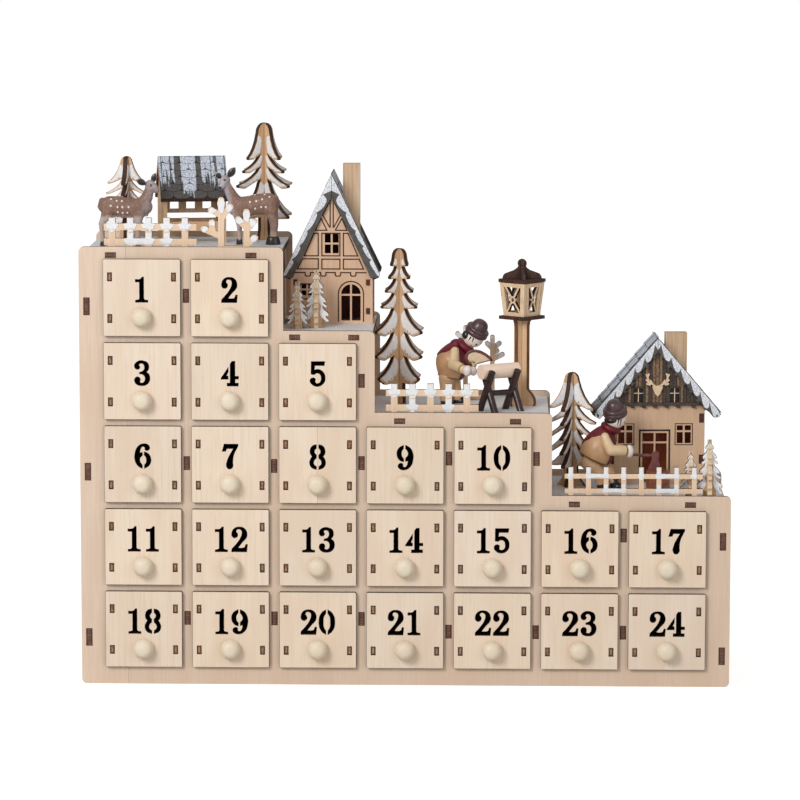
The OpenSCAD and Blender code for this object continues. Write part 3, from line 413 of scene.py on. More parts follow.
def grooves(strokes, width, matrix, lift=0.05):
    # Burnt lines on a face: each stroke is a list of points in mm, drawn as flat bars
    made = bmesh.new()
    for stroke in strokes:
        for start, end in zip(stroke, stroke[1:]):
            a, b = Vector((*start[:2], 0)), Vector((*end[:2], 0))
            way = (b - a).normalized() * width / 2
            side = Vector((-way.y, way.x, 0))
            corners = [a - way - side, b + way - side, b + way + side, a - way + side]
            top = [made.verts.new((p + high * lift) * mm) for p in corners]
            foot = [made.verts.new((p - high * lift) * mm) for p in corners]
            made.faces.new(top)
            made.faces.new(foot[::-1])
            for i in range(4):
                made.faces.new([top[i], foot[i], foot[(i + 1) % 4], top[(i + 1) % 4]])
    bmesh.ops.recalc_face_normals(made, faces=made.faces)
    made.transform(matrix)
    return meshFrom(made)


# Casing

def finishCasing():
    for axis, face, seam, nodes in (("X", across, None, ("side_walls", "dividers")),
                                    ("Y", deep, -180.6, ("front_panel", "back_panel")),
                                    ("Z", high, None, ("shelves", "bottom_board"))):
        finish = woodFinish("panelPly" + axis, panelLook, [face], seam=seam)
        for node in nodes:
            paintNode(node, finish)
    ledge = Finish("ledgeSnow")
    grains = ledge.cells(0.0005)
    drifts = ledge.noise(0.006, 5.0)
    snow = ledge.mix((238, 237, 236), (202, 201, 202), grains.ramp(0.2, 0.7) * 0.5)
    snow = ledge.mix(snow, (220, 213, 206), drifts.ramp(0.55, 0.75) * 0.5)
    char = ledge.mix((126, 84, 64), (66, 40, 30), drifts.ramp(0.4, 0.6))
    paintNode("ledges", ledge.done(Base_Color=ledge.mix(char, snow, ledge.facing(high)), Roughness=0.6,
                                   Normal=ledge.bump(grains + drifts, 0.0002, 0.6)))


# Ends of the tabs that show in the panels, as heights above the foot in rows
tabs = {
    "footMargin": 11.8, "rowPitch": 54.25, "dividerTab": 8.9, "wallTab": 11.4,
    "ledgeTab": 7.0, "ledgeThick": 3.6, "dividerThick": 4.0, "rim": 0.42,
    "frontStarts": (-0.06, -0.09), "backStarts": (-0.09, -0.08), "sunk": 0.1, "layer": 0.95,
    "dividerShares": [[0.59, 2.47, 4.48], [0.59, 2.44, 4.48], [0.59, 2.48, 3.47],
                      [0.44, 2.54], [0.44, 2.54], [0.44, 1.62]],
    "wallShares": [[0.35, 2.36, 4.35], [0.16, 1.55]],
    "ledgeShares": [[0.14, 0.853], [0.188, 0.812], [0.19, 0.818], [0.187, 0.808]],
    "ledgeTops": [282.88, 229.94, 175.65, 121.71],
    "ledgeSpans": [[-208.1, -80.96], [-83.05, -21.86], [-26.35, 92.98], [87.05, 208.1]],
    "firstDivider": -141.75, "pitch": 56.7, "wallX": 206.1,
}


def makeTabEnds():
    front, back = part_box("front_panel")[0].y / mm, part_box("back_panel")[1].y / mm
    foot, row, thick = tabs["footMargin"], tabs["rowPitch"], tabs["ledgeThick"]
    spots = [(tabs["firstDivider"] + i * tabs["pitch"], foot + share * row, tabs["dividerThick"],
              tabs["dividerTab"]) for i, shares in enumerate(tabs["dividerShares"]) for share in shares]
    spots += [(side * tabs["wallX"], foot + share * row, tabs["dividerThick"], tabs["wallTab"])
              for side, shares in zip((-1, 1), tabs["wallShares"]) for share in shares]
    spots += [(start + share * (end - start), top - thick / 2, tabs["ledgeTab"], thick)
              for shares, top, (start, end) in zip(tabs["ledgeShares"], tabs["ledgeTops"],
                                                   tabs["ledgeSpans"]) for share in shares]
    rims, layers = [], []
    rng = random.Random(77)
    for x, z, w, h in spots:
        for face, starts in ((front, tabs["frontStarts"]), (back, tabs["backStarts"])):
            near, proud = [face + start for start in starts]
            w2, h2 = w / 2 - tabs["rim"], h / 2 - tabs["rim"]
            rims.append(((x - w2, near, z - h2), (x + w2, near + tabs["sunk"], z + h2)))
            # The layers cross the tab's shorter side
            short, long = sorted((w2, h2))
            count = max(3, round(2 * long / tabs["layer"]))
            for i in range(count):
                wob = short - rng.uniform(0.25, 0.55)
                start = -long + 2 * long * (i + 0.26) / count
                ends = [(-wob, start), (wob, start + long / count)]
                (a, b), (c, d) = ends if w < h else [end[::-1] for end in ends]
                layers.append(((x + a, proud, z + b), (x + c, proud + tabs["sunk"], z + d)))
    link("tabRims", slabs(rims, 0.03), ["tabRim"])
    link("tabEnds", slabs(layers, 0.03), ["tabWood"])


# Stencil digits, in hundredths of their height: a third number marks a round point.
# Each digit has its width and its cut outlines
digits = {
    "1": (49, [[(0, 0), (49, 0), (49, 8), (37, 10, 1), (33, 14), (33, 100), (27, 100),
                (20, 92, 1), (0, 90), (0, 80), (16, 80), (16, 14), (12, 10, 1), (0, 8)]]),
    "2": (63, [[(0, 0), (60, 0), (63, 30), (56, 30), (52, 19, 1), (46, 16, 1), (25, 16),
                (42, 38, 1), (59, 58, 1), (61, 75, 1), (52, 93, 1), (32, 100, 1), (10, 93, 1),
                (1, 75, 1), (3, 61, 1), (13, 56, 1), (23, 62, 1), (24, 72, 1), (18, 82, 1),
                (22, 90, 1), (31, 91, 1), (40, 85, 1), (41, 73, 1), (36, 57, 1), (20, 33, 1),
                (1, 12)]]),
    "3": (61, [[(10, 65, 1), (22, 73, 1), (18, 83, 1), (26, 89, 1), (36, 85, 1), (40, 74, 1),
                (36, 61, 1), (27, 55, 1), (20, 54), (20, 46), (30, 46, 1), (40, 38, 1),
                (42, 26, 1), (38, 15, 1), (30, 11, 1), (22, 14, 1), (23, 25, 1), (19, 33, 1),
                (9, 35, 1), (1, 27, 1), (1, 16, 1), (9, 5, 1), (28, 0, 1), (47, 4, 1),
                (58, 16, 1), (61, 31, 1), (57, 46, 1), (47, 54), (55, 64, 1), (57, 77, 1),
                (52, 91, 1), (39, 98, 1), (24, 100, 1), (9, 94, 1), (0, 79, 1)]]),
    "4": (69, [[(36, 87), (43, 98), (55, 99), (55, 39), (69, 39), (69, 28), (55, 28), (55, 12),
                (68, 12), (68, 0), (24, 0), (24, 12), (36, 12)],
               [(28.5, 74), (28.5, 57), (21, 40), (28, 40), (28, 27), (0, 27), (0, 31)]]),
    "5": (61, [[(6, 99), (60, 99), (57, 83), (20, 83), (18, 65), (33, 68, 1), (53, 57, 1),
                (61, 34, 1), (54, 12, 1), (30, 0, 1), (9, 8, 1), (1, 24, 1), (10, 34, 1),
                (22, 30, 1), (21, 20, 1), (24, 14, 1), (32, 12, 1), (43, 20, 1), (45, 37, 1),
                (40, 49, 1), (28, 53, 1), (17, 47), (5, 49)]]),
    "6": (65, [[(31, 1), (31, 15), (23, 26, 1), (21, 40, 1), (31, 53), (31, 66), (21, 63),
                (24, 79, 1), (33, 89, 1), (41, 85, 1), (42, 76, 1), (51, 73, 1), (60, 81, 1),
                (57, 93, 1), (36, 100, 1), (13, 88, 1), (1, 57, 1), (2, 33, 1), (13, 12, 1)],
               [(39, 1), (39, 15), (46, 25, 1), (47, 38, 1), (44, 48, 1), (38, 55), (39, 68),
                (54, 61, 1), (65, 40, 1), (59, 15, 1)]]),
    "7": (63, [[(8, 100), (63, 100), (63, 92), (46, 57, 1), (42, 30, 1), (41, 8, 1), (29, 0, 1),
                (18, 9, 1), (21, 36, 1), (33, 62, 1), (45, 82), (18, 82), (13, 71), (0, 71)]]),
    "8": (63, [[(27, 100), (27, 85), (20, 76, 1), (20, 67, 1), (27, 58), (27, 46), (17, 34, 1),
                (17, 21, 1), (27, 12), (27, 0), (9, 7, 1), (0, 24, 1), (3, 41, 1), (10, 52),
                (3, 63, 1), (3, 81, 1), (12, 95, 1)],
               [(36, 100), (36, 85), (43, 76, 1), (43, 67, 1), (36, 58), (36, 46), (46, 34, 1),
                (46, 21, 1), (36, 12), (36, 0), (54, 7, 1), (63, 24, 1), (60, 41, 1), (53, 52),
                (60, 63, 1), (60, 81, 1), (51, 95, 1)]]),
    "0": (64, [[(28, 100), (28, 85), (20, 72, 1), (18, 50, 1), (20, 28, 1), (28, 15), (28, 0),
                (11, 13, 1), (0, 50, 1), (11, 87, 1)],
               [(36, 100), (36, 85), (44, 72, 1), (46, 50, 1), (44, 28, 1), (36, 15), (36, 0),
                (53, 13, 1), (64, 50, 1), (53, 87, 1)]]),
}

# A nine is a six turned half round
digits["9"] = (65, [[(65 - p[0], 100 - p[1], *p[2:]) for p in loop] for loop in digits["6"][1]])

drawers = {
    "frontThick": 3.2, "corner": 0.9, "digitHigh": 16.4, "digitLift": -2.9, "advance": 0.72,
    "slotX": 20.65, "slotZ": 13.5, "slotWide": 2.85, "slotHigh": 5.5, "tenonRim": 0.6,
    "knobDrop": 12.3, "knobWide": 13.1, "knobReach": 10.0, "bellyShare": 0.62,
    "wall": 2.7, "floor": 2.5, "boxHalf": 22.0, "glue": 0.05,
    "seams": {8: -56.7},
}


def numberLoops(number):
    text, s, step = str(number), drawers["digitHigh"] / 100, drawers["advance"] * 100
    loops = []
    for i, sign in enumerate(text):
        wide, outlines = digits[sign]
        start = (i - len(text) / 2) * step + (step - wide) / 2
        loops += [[((p[0] + start) * s, p[1] * s + drawers["digitLift"], *p[2:]) for p in outline]
                  for outline in outlines]
    return loops


def roundedBox(w, h, r):
    points = []
    for k, (sx, sy) in enumerate(((1, 1), (-1, 1), (-1, -1), (1, -1))):
        for i in range(5):
            x, y = polar(r, 90 * k + 22.5 * i)
            points.append((sx * (w / 2 - r) + x, sy * (h / 2 - r) + y))
    return points


def rectangle(x, y, w, h):
    return [(x - w / 2, y - h / 2), (x + w / 2, y - h / 2), (x + w / 2, y + h / 2),
            (x - w / 2, y + h / 2)]


def frontFace(number):
    # Each front is cut from its own veneer, so its tone and its streaks differ a little
    rng = random.Random(200 + number)
    warm, dark = rng.uniform(-1, 1), rng.uniform(-1, 1)
    gain = [1 + 0.025 * dark + 0.012 * warm, 1 + 0.025 * dark, 1 + 0.025 * dark - 0.02 * warm, 1.0]
    look = dict(birchLook, grain=rng.uniform(0.35, 0.6), drift=rng.uniform(0.4, 0.8))
    for key in ("pale", "deep", "tint"):
        look[key] = tuple(c * g for c, g in zip(colour(*birchLook[key]), gain))
    return woodFinish("frontFace%02d" % number, look, centre=(rng.uniform(-1, 1) / mm, 0, 0),
                      seam=drawers["seams"].get(number))


def makeDrawer(number):
    body = "drawer_%02d" % number
    low, top = [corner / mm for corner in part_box(body)]
    x, z = (low.x + top.x) / 2, (low.z + top.z) / 2
    reach, thick, slotX, slotZ = [drawers[key] for key in ("knobReach", "frontThick", "slotX", "slotZ")]
    front = low.y + reach
    slots = [rectangle(sx * slotX, sz * slotZ, drawers["slotWide"], drawers["slotHigh"])
             for sx in (-1, 1) for sz in (-1, 1)]
    loops = [roundedBox(top.x - low.x, top.z - low.z, drawers["corner"])] + slots + numberLoops(number)
    mesh = cutSheet(loops, thick, 0.18)
    mesh.transform(standing(x, front + thick / 2, z))
    link("numberBoard%02d" % number, mesh, [frontFace(number), "burntEdge"], body=body, stands=body)

    # The knob: a round belly on a foot
    r, belly = drawers["knobWide"] / 2, reach * drawers["bellyShare"]
    profile = [(0, 0), (r * 0.72, 0), (r * 0.74, reach * 0.06)]
    for a in range(-30, 90, 6):
        c, s = polar(1, a)
        profile.append((r * c ** 0.62, reach - belly * (1 - math.copysign(abs(s) ** 1.25, s))))
    mesh = lathe(profile + [(0, reach)], 48)
    mesh.transform(standing(x, front, z - drawers["knobDrop"]))
    link("knob%02d" % number, mesh, ["knobWood"], body)

    # The box: two sides whose tenons end in the front's slots, a floor and a back
    half, wall, rim, glue = [drawers[key] for key in ("boxHalf", "wall", "tenonRim", "glue")]
    w2, h2 = wall / 2 - glue, drawers["slotHigh"] / 2 - 0.2
    start, end = front + thick + glue, top.y
    boxes, ends = [], []
    for side in (-1, 1):
        sx = x + side * slotX
        boxes.append(((sx - wall / 2, start, z - half), (sx + wall / 2, end, z + half)))
        for tz in (z - slotZ, z + slotZ):
            boxes.append(((sx - w2, front + 0.3, tz - h2), (sx + w2, start, tz + h2)))
            ends.append(((sx - w2 + rim, front + 0.1, tz - h2 + rim),
                         (sx + w2 - rim, front + 0.35, tz + h2 - rim)))
    inner = slotX - wall / 2 - glue
    boxes.append(((x - inner, start, z - half), (x + inner, end - wall, z - half + drawers["floor"])))
    boxes.append(((x - inner, end - wall, z - half), (x + inner, end, z + half)))
    mesh = joined([(slabs(boxes, 0.12), Matrix()), (slabs(ends, 0.08, 1), Matrix())])
    link("drawerBox%02d" % number, mesh, ["boxWood", "tenonWood"], body=body)


woodFinish("knobWood", dict(birchLook, pale=(233, 219, 196), deep=(214, 194, 164), tint=(224, 207, 180),
                            grain=0.35, fibre=(0.0012, 0.02, 0.0012), rough=0.5))
woodFinish("boxWood", dict(birchLook, fibre=(0.0011, 0.03, 0.0011)), [across, high])
finishCasing()
makeTabEnds()
for number in range(1, 25):
    makeDrawer(number)
print("drawers made")


# The village

ply, clear = 3.0, 0.1


def snowSheets(name, loops, face, turn=0.0, both=None, finish="snowPaint"):
    # Thin raised snow on an upright plate, or on both its sides: face is where its x, z = 0, 0 lies
    thick, sink = 0.5, 0.12
    parts = []
    for side in ([-1] if both is None else [-1, 1]):
        spot = Vector(face) + turned(turn, 0, (thick / 2 - sink + (both or 0) / 2) * side)
        parts.append((cutSheet(loops, thick, 0.16, 4), standing(*spot, turn)))
    link(name, joined(parts), [finish, finish])


# Firs: each has its foot, turn, half width, height, how far snow covers a bough,
# and its boughs as root, tip and lobe in half widths and heights
lowBoughs = [[0, 0, .88, .69, .68, .675], [.2, .725, .96, .567, .76, .55],
             [.2, .612, 1, .44, .8, .42], [.2, .515, 1, .31, .78, .29],
             [.2, .38, .85, .19, .6, .17]]
firs = {
    "fir_tree_small": {"at": (-187.7, 35.1, 282.88), "turn": -5, "half": 14.5, "tall": 56,
                       "cover": [1, 1, 1, 1, 1], "boughs": lowBoughs},
    "fir_tree_broad": {"at": (-96.5, 44.2, 282.88), "turn": 45, "half": 24, "tall": 78,
                       "cover": [1, 1, 1, 0.86],
                       "boughs": [[0, 0, .62, .705, .45, .69], [.17, .739, .78, .595, .6, .575],
                                  [.17, .63, 1, .475, .78, .445], [.17, .525, .98, .21, .62, .185]]},
    "fir_tree_tall": {"at": (-5.9, 24.9, 175.65), "turn": 45, "half": 21.3, "tall": 103.5,
                      "cover": [0.85, 1, 1, 1, 0.9, 0.82, 0.8],
                      "boughs": [[0, 0, .345, .9, .2, .887], [.17, .882, .43, .818, .25, .806],
                                 [.19, .803, .57, .733, .38, .716],
                                 [.26, .711, .755, .634, .55, .616],
                                 [.27, .618, 1, .475, .66, .44], [.26, .469, .99, .318, .68, .284],
                                 [.26, .314, .88, .172, .62, .128]]},
    "fir_tree_low": {"at": (108.8, 18, 121.71), "turn": -23, "half": 18, "tall": 76,
                     "cover": [1, 1, 1, 1, 0.95], "boughs": lowBoughs},
}


def boughSnow(root, tip, lobe, inner, cover, seed):
    # The snow follows the bough's upper edge and ends in a ragged lower one
    rng = random.Random(seed)
    root, tip, lobe, inner = [Vector(spot) for spot in (root, tip, lobe, inner)]
    bend = Vector((root.x + (tip.x - root.x) * 0.3, tip.y + (root.y - tip.y) * 0.3))

    def upper(t):
        return root * (1 - t) ** 2 + bend * 2 * t * (1 - t) + tip * t * t + Vector((-0.45, -0.45))
    loop = [upper(t) for t in (0.06, 0.2, 0.4, 0.6, 0.8, 0.95)]
    loop.append(tip.lerp(lobe, 0.35) + Vector((-0.7, 0.35)))
    count = max(3, round((tip - root).length / 3))
    for i in range(count + 1):
        s = 0.9 - 0.84 * i / count
        low = inner.lerp(lobe, s) + Vector((0.3, 0.45))
        reach = cover * (0.92 + (0.1 if i % 2 else -0.1) + rng.uniform(-0.06, 0.06))
        loop.append(upper(s).lerp(low, min(reach, 0.97)))
    return loop


def makeFir(name, fir):
    w, h, boughs = fir["half"], fir["tall"], fir["boughs"]
    crown = 0.27 * w
    loops = []
    for i, bough in enumerate(boughs):
        root = (crown, h - crown) if i == 0 else (bough[0] * w, bough[1] * h)
        after = boughs[i + 1] if i + 1 < len(boughs) else [4.5 / w, bough[5] * 1.05]
        inner = (max(after[0] * w, ply / 2 + 0.6), after[1] * h)
        root = (max(root[0], ply / 2 + 1.2), root[1])
        for side in (-1, 1):
            loop = boughSnow(root, (bough[2] * w, bough[3] * h), (bough[4] * w, bough[5] * h),
                             inner, fir["cover"][i], "%s%d%d" % (name, i, side))
            loops.append(flipped([(max(p.x, ply / 2 + 0.3), p.y, 1) for p in loop], side))
    for plate in (0, 1):
        snowSheets("%s_snow%d" % (name, plate), loops, fir["at"], fir["turn"] + 90 * plate, ply)
    paintNode(name, crossedWood(name + "Wood", warmLook, fir["at"], fir["turn"], ply / 2 + 0.1))


for name, fir in firs.items():
    makeFir(name, fir)
print("firs made")

# Small snowy firs, cut here with their ragged boughs: the right outline of a plate as shares of
# its half width and height, and where the snow ends towards the bare middle
plateFirs = {"spots": [(-71.5, -16, 229.94, 0.85), (-59.4, -10.4, 229.94, 1.05),
                       (185.5, -37.1, 121.71, 0.86), (197.4, -41.6, 121.71, 1.1)],
             "high": 36, "half": 7.8,
             "outline": [(0, 1), (0.1, 0.93), (0.32, 0.845, 1), (0.2, 0.838), (0.24, 0.8),
                         (0.52, 0.685, 1), (0.36, 0.69), (0.42, 0.655), (0.62, 0.6, 1),
                         (0.34, 0.615), (0.42, 0.56), (0.76, 0.44, 1), (0.56, 0.455),
                         (0.62, 0.42), (0.88, 0.355, 1), (0.46, 0.395), (0.56, 0.33),
                         (0.98, 0.2, 1), (0.76, 0.215), (0.8, 0.18), (1.0, 0.1, 1),
                         (0.52, 0.17), (0.48, 0.08), (0.56, 0.0)],
             "inner": [(0.42, 0.19, 1), (0.24, 0.28, 1), (0.32, 0.38, 1), (0.14, 0.47, 1),
                       (0.24, 0.55, 1), (0.1, 0.64, 1), (0.06, 0.78, 1)]}


def makePlateFirs():
    plates = []
    for k, (x, y, z, scale) in enumerate(plateFirs["spots"]):
        rng = random.Random(40 + k)
        w, h = plateFirs["half"] * scale, plateFirs["high"] * scale
        right = [(p[0] * w, p[1] * h, *p[2:]) for p in plateFirs["outline"]]
        left = [(-p[0], *p[1:]) for p in right[:0:-1]]
        board = cutSheet([(left + right)[::-1]], ply, 0.12)
        crossed = board.copy()
        # The crossing plate shows its uncharred edge to the front
        crossed.polygons.foreach_set("material_index", [2] * len(crossed.polygons))
        plates += [(board, standing(x, y, z)), (crossed, standing(x, y, z, 90))]
        loops = []
        for side in (-1, 1):
            out = [(p[0] * w - 0.25, p[1] * h + (0.18 if p[2:] else -0.12), *p[2:])
                   for p in plateFirs["outline"][1:22]]
            bare = [(p[0] * w + rng.uniform(-0.3, 0.4), p[1] * h + rng.uniform(-0.6, 0.6), 1)
                    for p in plateFirs["inner"]]
            loops.append(flipped([(max(p[0], 0.1), *p[1:]) for p in [(0.1, h - 0.8)] + out + bare], side))
        snowSheets("plateFirSnow%d" % k, loops, (x, y, z), both=ply)
    link("smallFirs", joined(plates), ["warmUpright", "burntEdge", "barePly"],
         stands="small_firs")


woodFinish("warmUpright", warmLook, [deep])
woodFinish("fenceWood", dict(warmLook, pale=(236, 207, 178), deep=(212, 176, 142), tint=(226, 193, 160)),
           [deep])
makePlateFirs()

# Fences: start, length, pickets, bar width, and snow as (first picket, last picket, rail)
fences = {
    "fence_upper": {"at": (-195.0, 282.88), "long": 60, "count": 5, "bar": 4.3, "top": 5 * [1],
                    "low": [(1, 2), (3, 3)]},
    "fence_middle": {"at": (-12.7, 175.65), "long": 60, "count": 5, "bar": 4.3, "top": 5 * [1],
                     "low": [(1, 1), (3, 3)]},
    "fence_lower": {"at": (103.3, 121.71), "long": 89.5, "count": 8, "bar": 3.2, "top": [1, 2, 1, 1, 2, 1],
                    "low": [(2, 3), (5, 6)]},
}
fenceHigh, upperRail, lowerRail = 22, 0.73, 0.29


def makeFence(name, fence):
    bar, count = fence["bar"], fence["count"]
    rng = random.Random(name)
    spans, first = [], 0
    for covered in fence["top"]:
        spans.append((first, first + covered - 1, upperRail))
        first += covered
    loops = []
    for first, last, share in spans + [(*span, lowerRail) for span in fence["low"]]:
        x1, x2 = [bar + i * (fence["long"] - 3 * bar) / (count - 1) + bar / 4 for i in (first, last)]
        middle = share * fenceHigh
        h = bar / 2 - 0.25
        up = fenceHigh - 0.25 if share == upperRail else middle + bar * 1.3
        wide = 2.2 if bar > 4 else 0.7
        a, b = middle + bar / 2 - 0.3, middle - bar / 2 + 0.5
        wob = [rng.uniform(-0.35, 0.35) for _ in range(6)]
        loop = [(x1 - h, up), (x1 + h, up)]
        if last > first:
            loop += [(x1 + h, a + 0.4), (x2 - h, a + 0.4), (x2 - h, up), (x2 + h, up)]
        loop += [(x2 + h, a + 0.5), (x2 + h + wide, a - 0.1, 1),
                 (x2 + h + wide * 0.8 + wob[0], (a + b) / 2, 1), (x2 + h + 0.4, b, 1),
                 (x2 - h + wob[1], b - 0.3 + wob[2], 1)]
        if last > first:
            loop += [((x1 + x2) / 2 + wob[3], b + 0.2, 1)]
        loop += [(x1 + h + wob[4], b - 0.3 + wob[5], 1), (x1 - h - 0.4, b, 1),
                 (x1 - h - wide * 0.9 + wob[1], (a + b) / 2, 1), (x1 - h - wide, a - 0.1, 1),
                 (x1 - h, a + 0.5)]
        loops.append(loop[::-1])
    snowSheets(name + "_snow", loops, (fence["at"][0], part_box(name)[0].y / mm, fence["at"][1]))
    paintNode(name, "fenceWood")


for name, fence in fences.items():
    makeFence(name, fence)

# Shrubs: snow caps on the twig ends, as start and end of each twig in shrub heights
shrubs = {"high": 36, "front": {"at": (-119.1, -47.1, 282.88), "wide": 4, "twigs": [
    (0, .7, 0, .95), (-.1, .71, -.2, .76), (.1, .74, .175, .83), (-.24, .38, -.33, .42),
    (-.16, .46, -.17, .55), (.455, .54, .455, .74), (.38, .51, .29, .6), (.52, .47, .6, .56),
    (.53, .2, .62, .27)]},
    "rear": {"at": (56, 45.3, 175.65), "wide": 3.2, "twigs": [
        (0, 1.02, 0, 1.18), (.07, 1.0, .14, 1.06), (-.06, 1.0, -.11, 1.06), (.06, .9, .1, .92),
        (.1, .8, .2, .85), (-.5, 1.2, -.5, 1.36), (-.58, 1.16, -.66, 1.24)]}}


def makeShrubs():
    for key in ("front", "rear"):
        shrub, s = shrubs[key], shrubs["high"]
        loops = []
        for x1, z1, x2, z2 in shrub["twigs"]:
            a, b = Vector((x1, z1)) * s, Vector((x2, z2)) * s
            way = (b - a).normalized()
            side = Vector((-way.y, way.x)) * (shrub["wide"] / 2 - 0.25)
            b -= way * 0.2
            corners = [a - side * 0.7, a * 0.8 + b * 0.2 - side, b - side * 0.9, b + way * 0.3,
                       b + side * 0.9, a * 0.7 + b * 0.3 + side, a + side * 0.5 + way * 0.8]
            loops.append([(p.x, p.y, 1) for p in corners])
        x, y, z = shrub["at"]
        snowSheets("shrubSnow_" + key, loops, (x, y - ply / 2, z))
    paintNode("shrubs", "fenceWood")


makeShrubs()
print("fences and shrubs made")


# Roof boards wear dark paint with snow that runs down from the ridge

def roofFinish(name, normals, centre, turn, down, drop, snowReach, seed, bands=(), drifts=()):
    # down is the axis across the ridge, and drop is that way's length to the eaves
    roof = Finish(name)
    spots = roof.parts(centre, turn)

    def streaks(thin, long, start, detail, rough):
        size = [thin, thin, long]
        size[down] = long
        return roof.noise(size, detail, rough, 0.0, ((start / mm, 0, 0), turn))
    drips = streaks(0.0016, 0.02, seed, 5.0, 0.6)
    fine = roof.noise(0.0009, 3.0)
    falling = (drips - 0.5) * 1.5 - abs(spots[down]) * (1 / (drop * mm)) + snowReach + 0.08
    snowy = falling.ramp(-0.03, 0.05)
    if not bands:
        snowy = snowy * (1 - streaks(0.006, 0.06, seed + 1, 1.0, 0.4).ramp(0.585, 0.6) * 0.95)
    # Deeper drifts and bare bands, as the middle, half width and strength across the slope
    beside = spots[1 - down] * (1 / mm) + (drips - 0.5) * 2.6
    for middle, half, share in drifts:
        more = (falling + share).ramp(-0.03, 0.05)
        snowy = snowy + (more - snowy) * (abs(beside - middle) < half)
    for middle, half, share in bands:
        snowy = snowy * (1 - (abs(beside - middle) < half) * share)
    paint = roof.mix(*roofTones, fine.ramp(0.35, 0.7))
    snow = roof.mix((208, 214, 224), (142, 150, 164), fine.ramp(0.4, 0.65))
    flat = roof.facing(normals[0]) + roof.facing(normals[1])
    tone = roof.mix((34, 28, 25), roof.mix(paint, snow, snowy), flat)
    return roof.done(Base_Color=tone, Roughness=0.55 - snowy * 0.1,
                     Normal=roof.bump(fine + snowy * 2, 0.00015, 0.6))


# Shingles by Geometry Nodes: a grid of points, each second row shifted, tilted plates on it

def shingleNodes():
    group = bpy.data.node_groups.new("shingles", "GeometryNodeTree")
    for name, kind in (("Geometry", "Geometry"), ("Columns", "Int"), ("Rows", "Int"), ("Wide", "Float"),
                       ("Step", "Float"), ("Seed", "Int"), ("Finish", "Material")):
        group.interface.new_socket(name, in_out="INPUT", socket_type="NodeSocket" + kind)
    group.interface.new_socket("Geometry", in_out="OUTPUT", socket_type="NodeSocketGeometry")

    def add(kind, values, **settings):
        node = group.nodes.new(kind)
        for key, value in settings.items():
            setattr(node, key, value)
        for key, value in values.items():
            if isinstance(value, bpy.types.NodeSocket):
                group.links.new(value, node.inputs[key])
            else:
                node.inputs[key].default_value = value
        return node.outputs

    def sums(operation, first, second):
        return add("ShaderNodeMath", {0: first, 1: second}, operation=operation)[0]
    given = add("NodeGroupInput", {})
    # The grid spans (count - 1) pitches each way
    spans = [sums("MULTIPLY", sums("SUBTRACT", given[count], 1), given[pitch])
             for count, pitch in (("Columns", "Wide"), ("Rows", "Step"))]
    grid = add("GeometryNodeMeshGrid", {"Size X": spans[0], "Size Y": spans[1],
                                        "Vertices X": given["Columns"], "Vertices Y": given["Rows"]})
    spots = add("GeometryNodeMeshToPoints", {"Mesh": grid["Mesh"]})
    row = sums("MODULO", add("GeometryNodeInputIndex", {})[0], given["Rows"])
    side = sums("MULTIPLY", sums("SUBTRACT", sums("MODULO", row, 2), 0.5), given["Wide"])
    shift = add("ShaderNodeCombineXYZ", {"X": sums("MULTIPLY", side, 0.5)})
    moved = add("GeometryNodeSetPosition", {"Geometry": spots["Points"], "Offset": shift[0]})
    # Each shingle's tip and turn lie between these angles
    low, top = [[math.radians(angle) for angle in angles] for angles in ((-3.2, 0, -0.2), (-2.9, 0, 0.2))]
    tilt = add("FunctionNodeRandomValue", {"Min": low, "Max": top, "Seed": given["Seed"]},
               data_type="FLOAT_VECTOR")
    rows = add("GeometryNodeInstanceOnPoints", {"Points": moved[0], "Instance": given["Geometry"],
                                                "Rotation": tilt["Value"]})
    real = add("GeometryNodeRealizeInstances", {"Geometry": rows["Instances"]})
    painted = add("GeometryNodeSetMaterial", {"Geometry": real[0], "Material": given["Finish"]})
    add("NodeGroupOutput", {"Geometry": painted[0]})
    return group


shingleGroup = shingleNodes()


def shingled(wide, long, columns, rows, seed, finish):
    # A roof slope of shingles lying in x, y with the eaves at low y, trimmed to its width
    pitch, step, thick = wide / columns, long / rows, 0.45
    w = pitch / 2 - 0.07
    tile = [(-w + 2.3, 0), (w - 2.3, 0), (w, 1.8), (w, step * 1.16), (-w, step * 1.16), (-w, 1.8)]
    mesh = cutSheet([tile], thick, 0.08)
    mesh.transform(move(0, -step / 2, thick / 2 + 0.28))
    holder = placed("shingle", mesh)
    grow = holder.modifiers.new("rows", "NODES")
    grow.node_group = shingleGroup
    values = {"Columns": columns + (1 if rows % 2 else 2), "Rows": rows, "Wide": pitch * mm,
              "Step": step * mm, "Seed": seed, "Finish": finish}
    for item in shingleGroup.interface.items_tree:
        if item.name in values:
            grow[item.identifier] = values[item.name]
    holder.update_tag()
    trim = opened(baked(holder))
    for side in (-1, 1):
        cut = bmesh.ops.bisect_plane(trim, geom=trim.verts[:] + trim.edges[:] + trim.faces[:],
                                     plane_co=(side * wide / 2 * mm, 0, 0), plane_no=(side, 0, 0),
                                     clear_outer=True, dist=1e-7)
        rims = [edge for edge in cut["geom_cut"] if isinstance(edge, bmesh.types.BMEdge)]
        bmesh.ops.holes_fill(trim, edges=rims, sides=0)
    bmesh.ops.recalc_face_normals(trim, faces=trim.faces)
    return meshFrom(trim, 0)


def coverRoof(name, ridge, turn, lean, run, wide, columns, rows, finish, seed):
    # Each slope has its top edge along the ridge and falls to one side
    long, fall = run * math.sqrt(1 + lean * lean), math.degrees(math.atan(lean))
    parts = []
    for side in (-1, 1):
        lay = spin(turn + (0 if side > 0 else 180)) @ spin(fall, "X") @ move(0, -long / 2, 0)
        parts.append((shingled(wide, long, columns, rows, seed + side, finish), move(*ridge) @ lay))
    link(name, joined(parts), [finish])


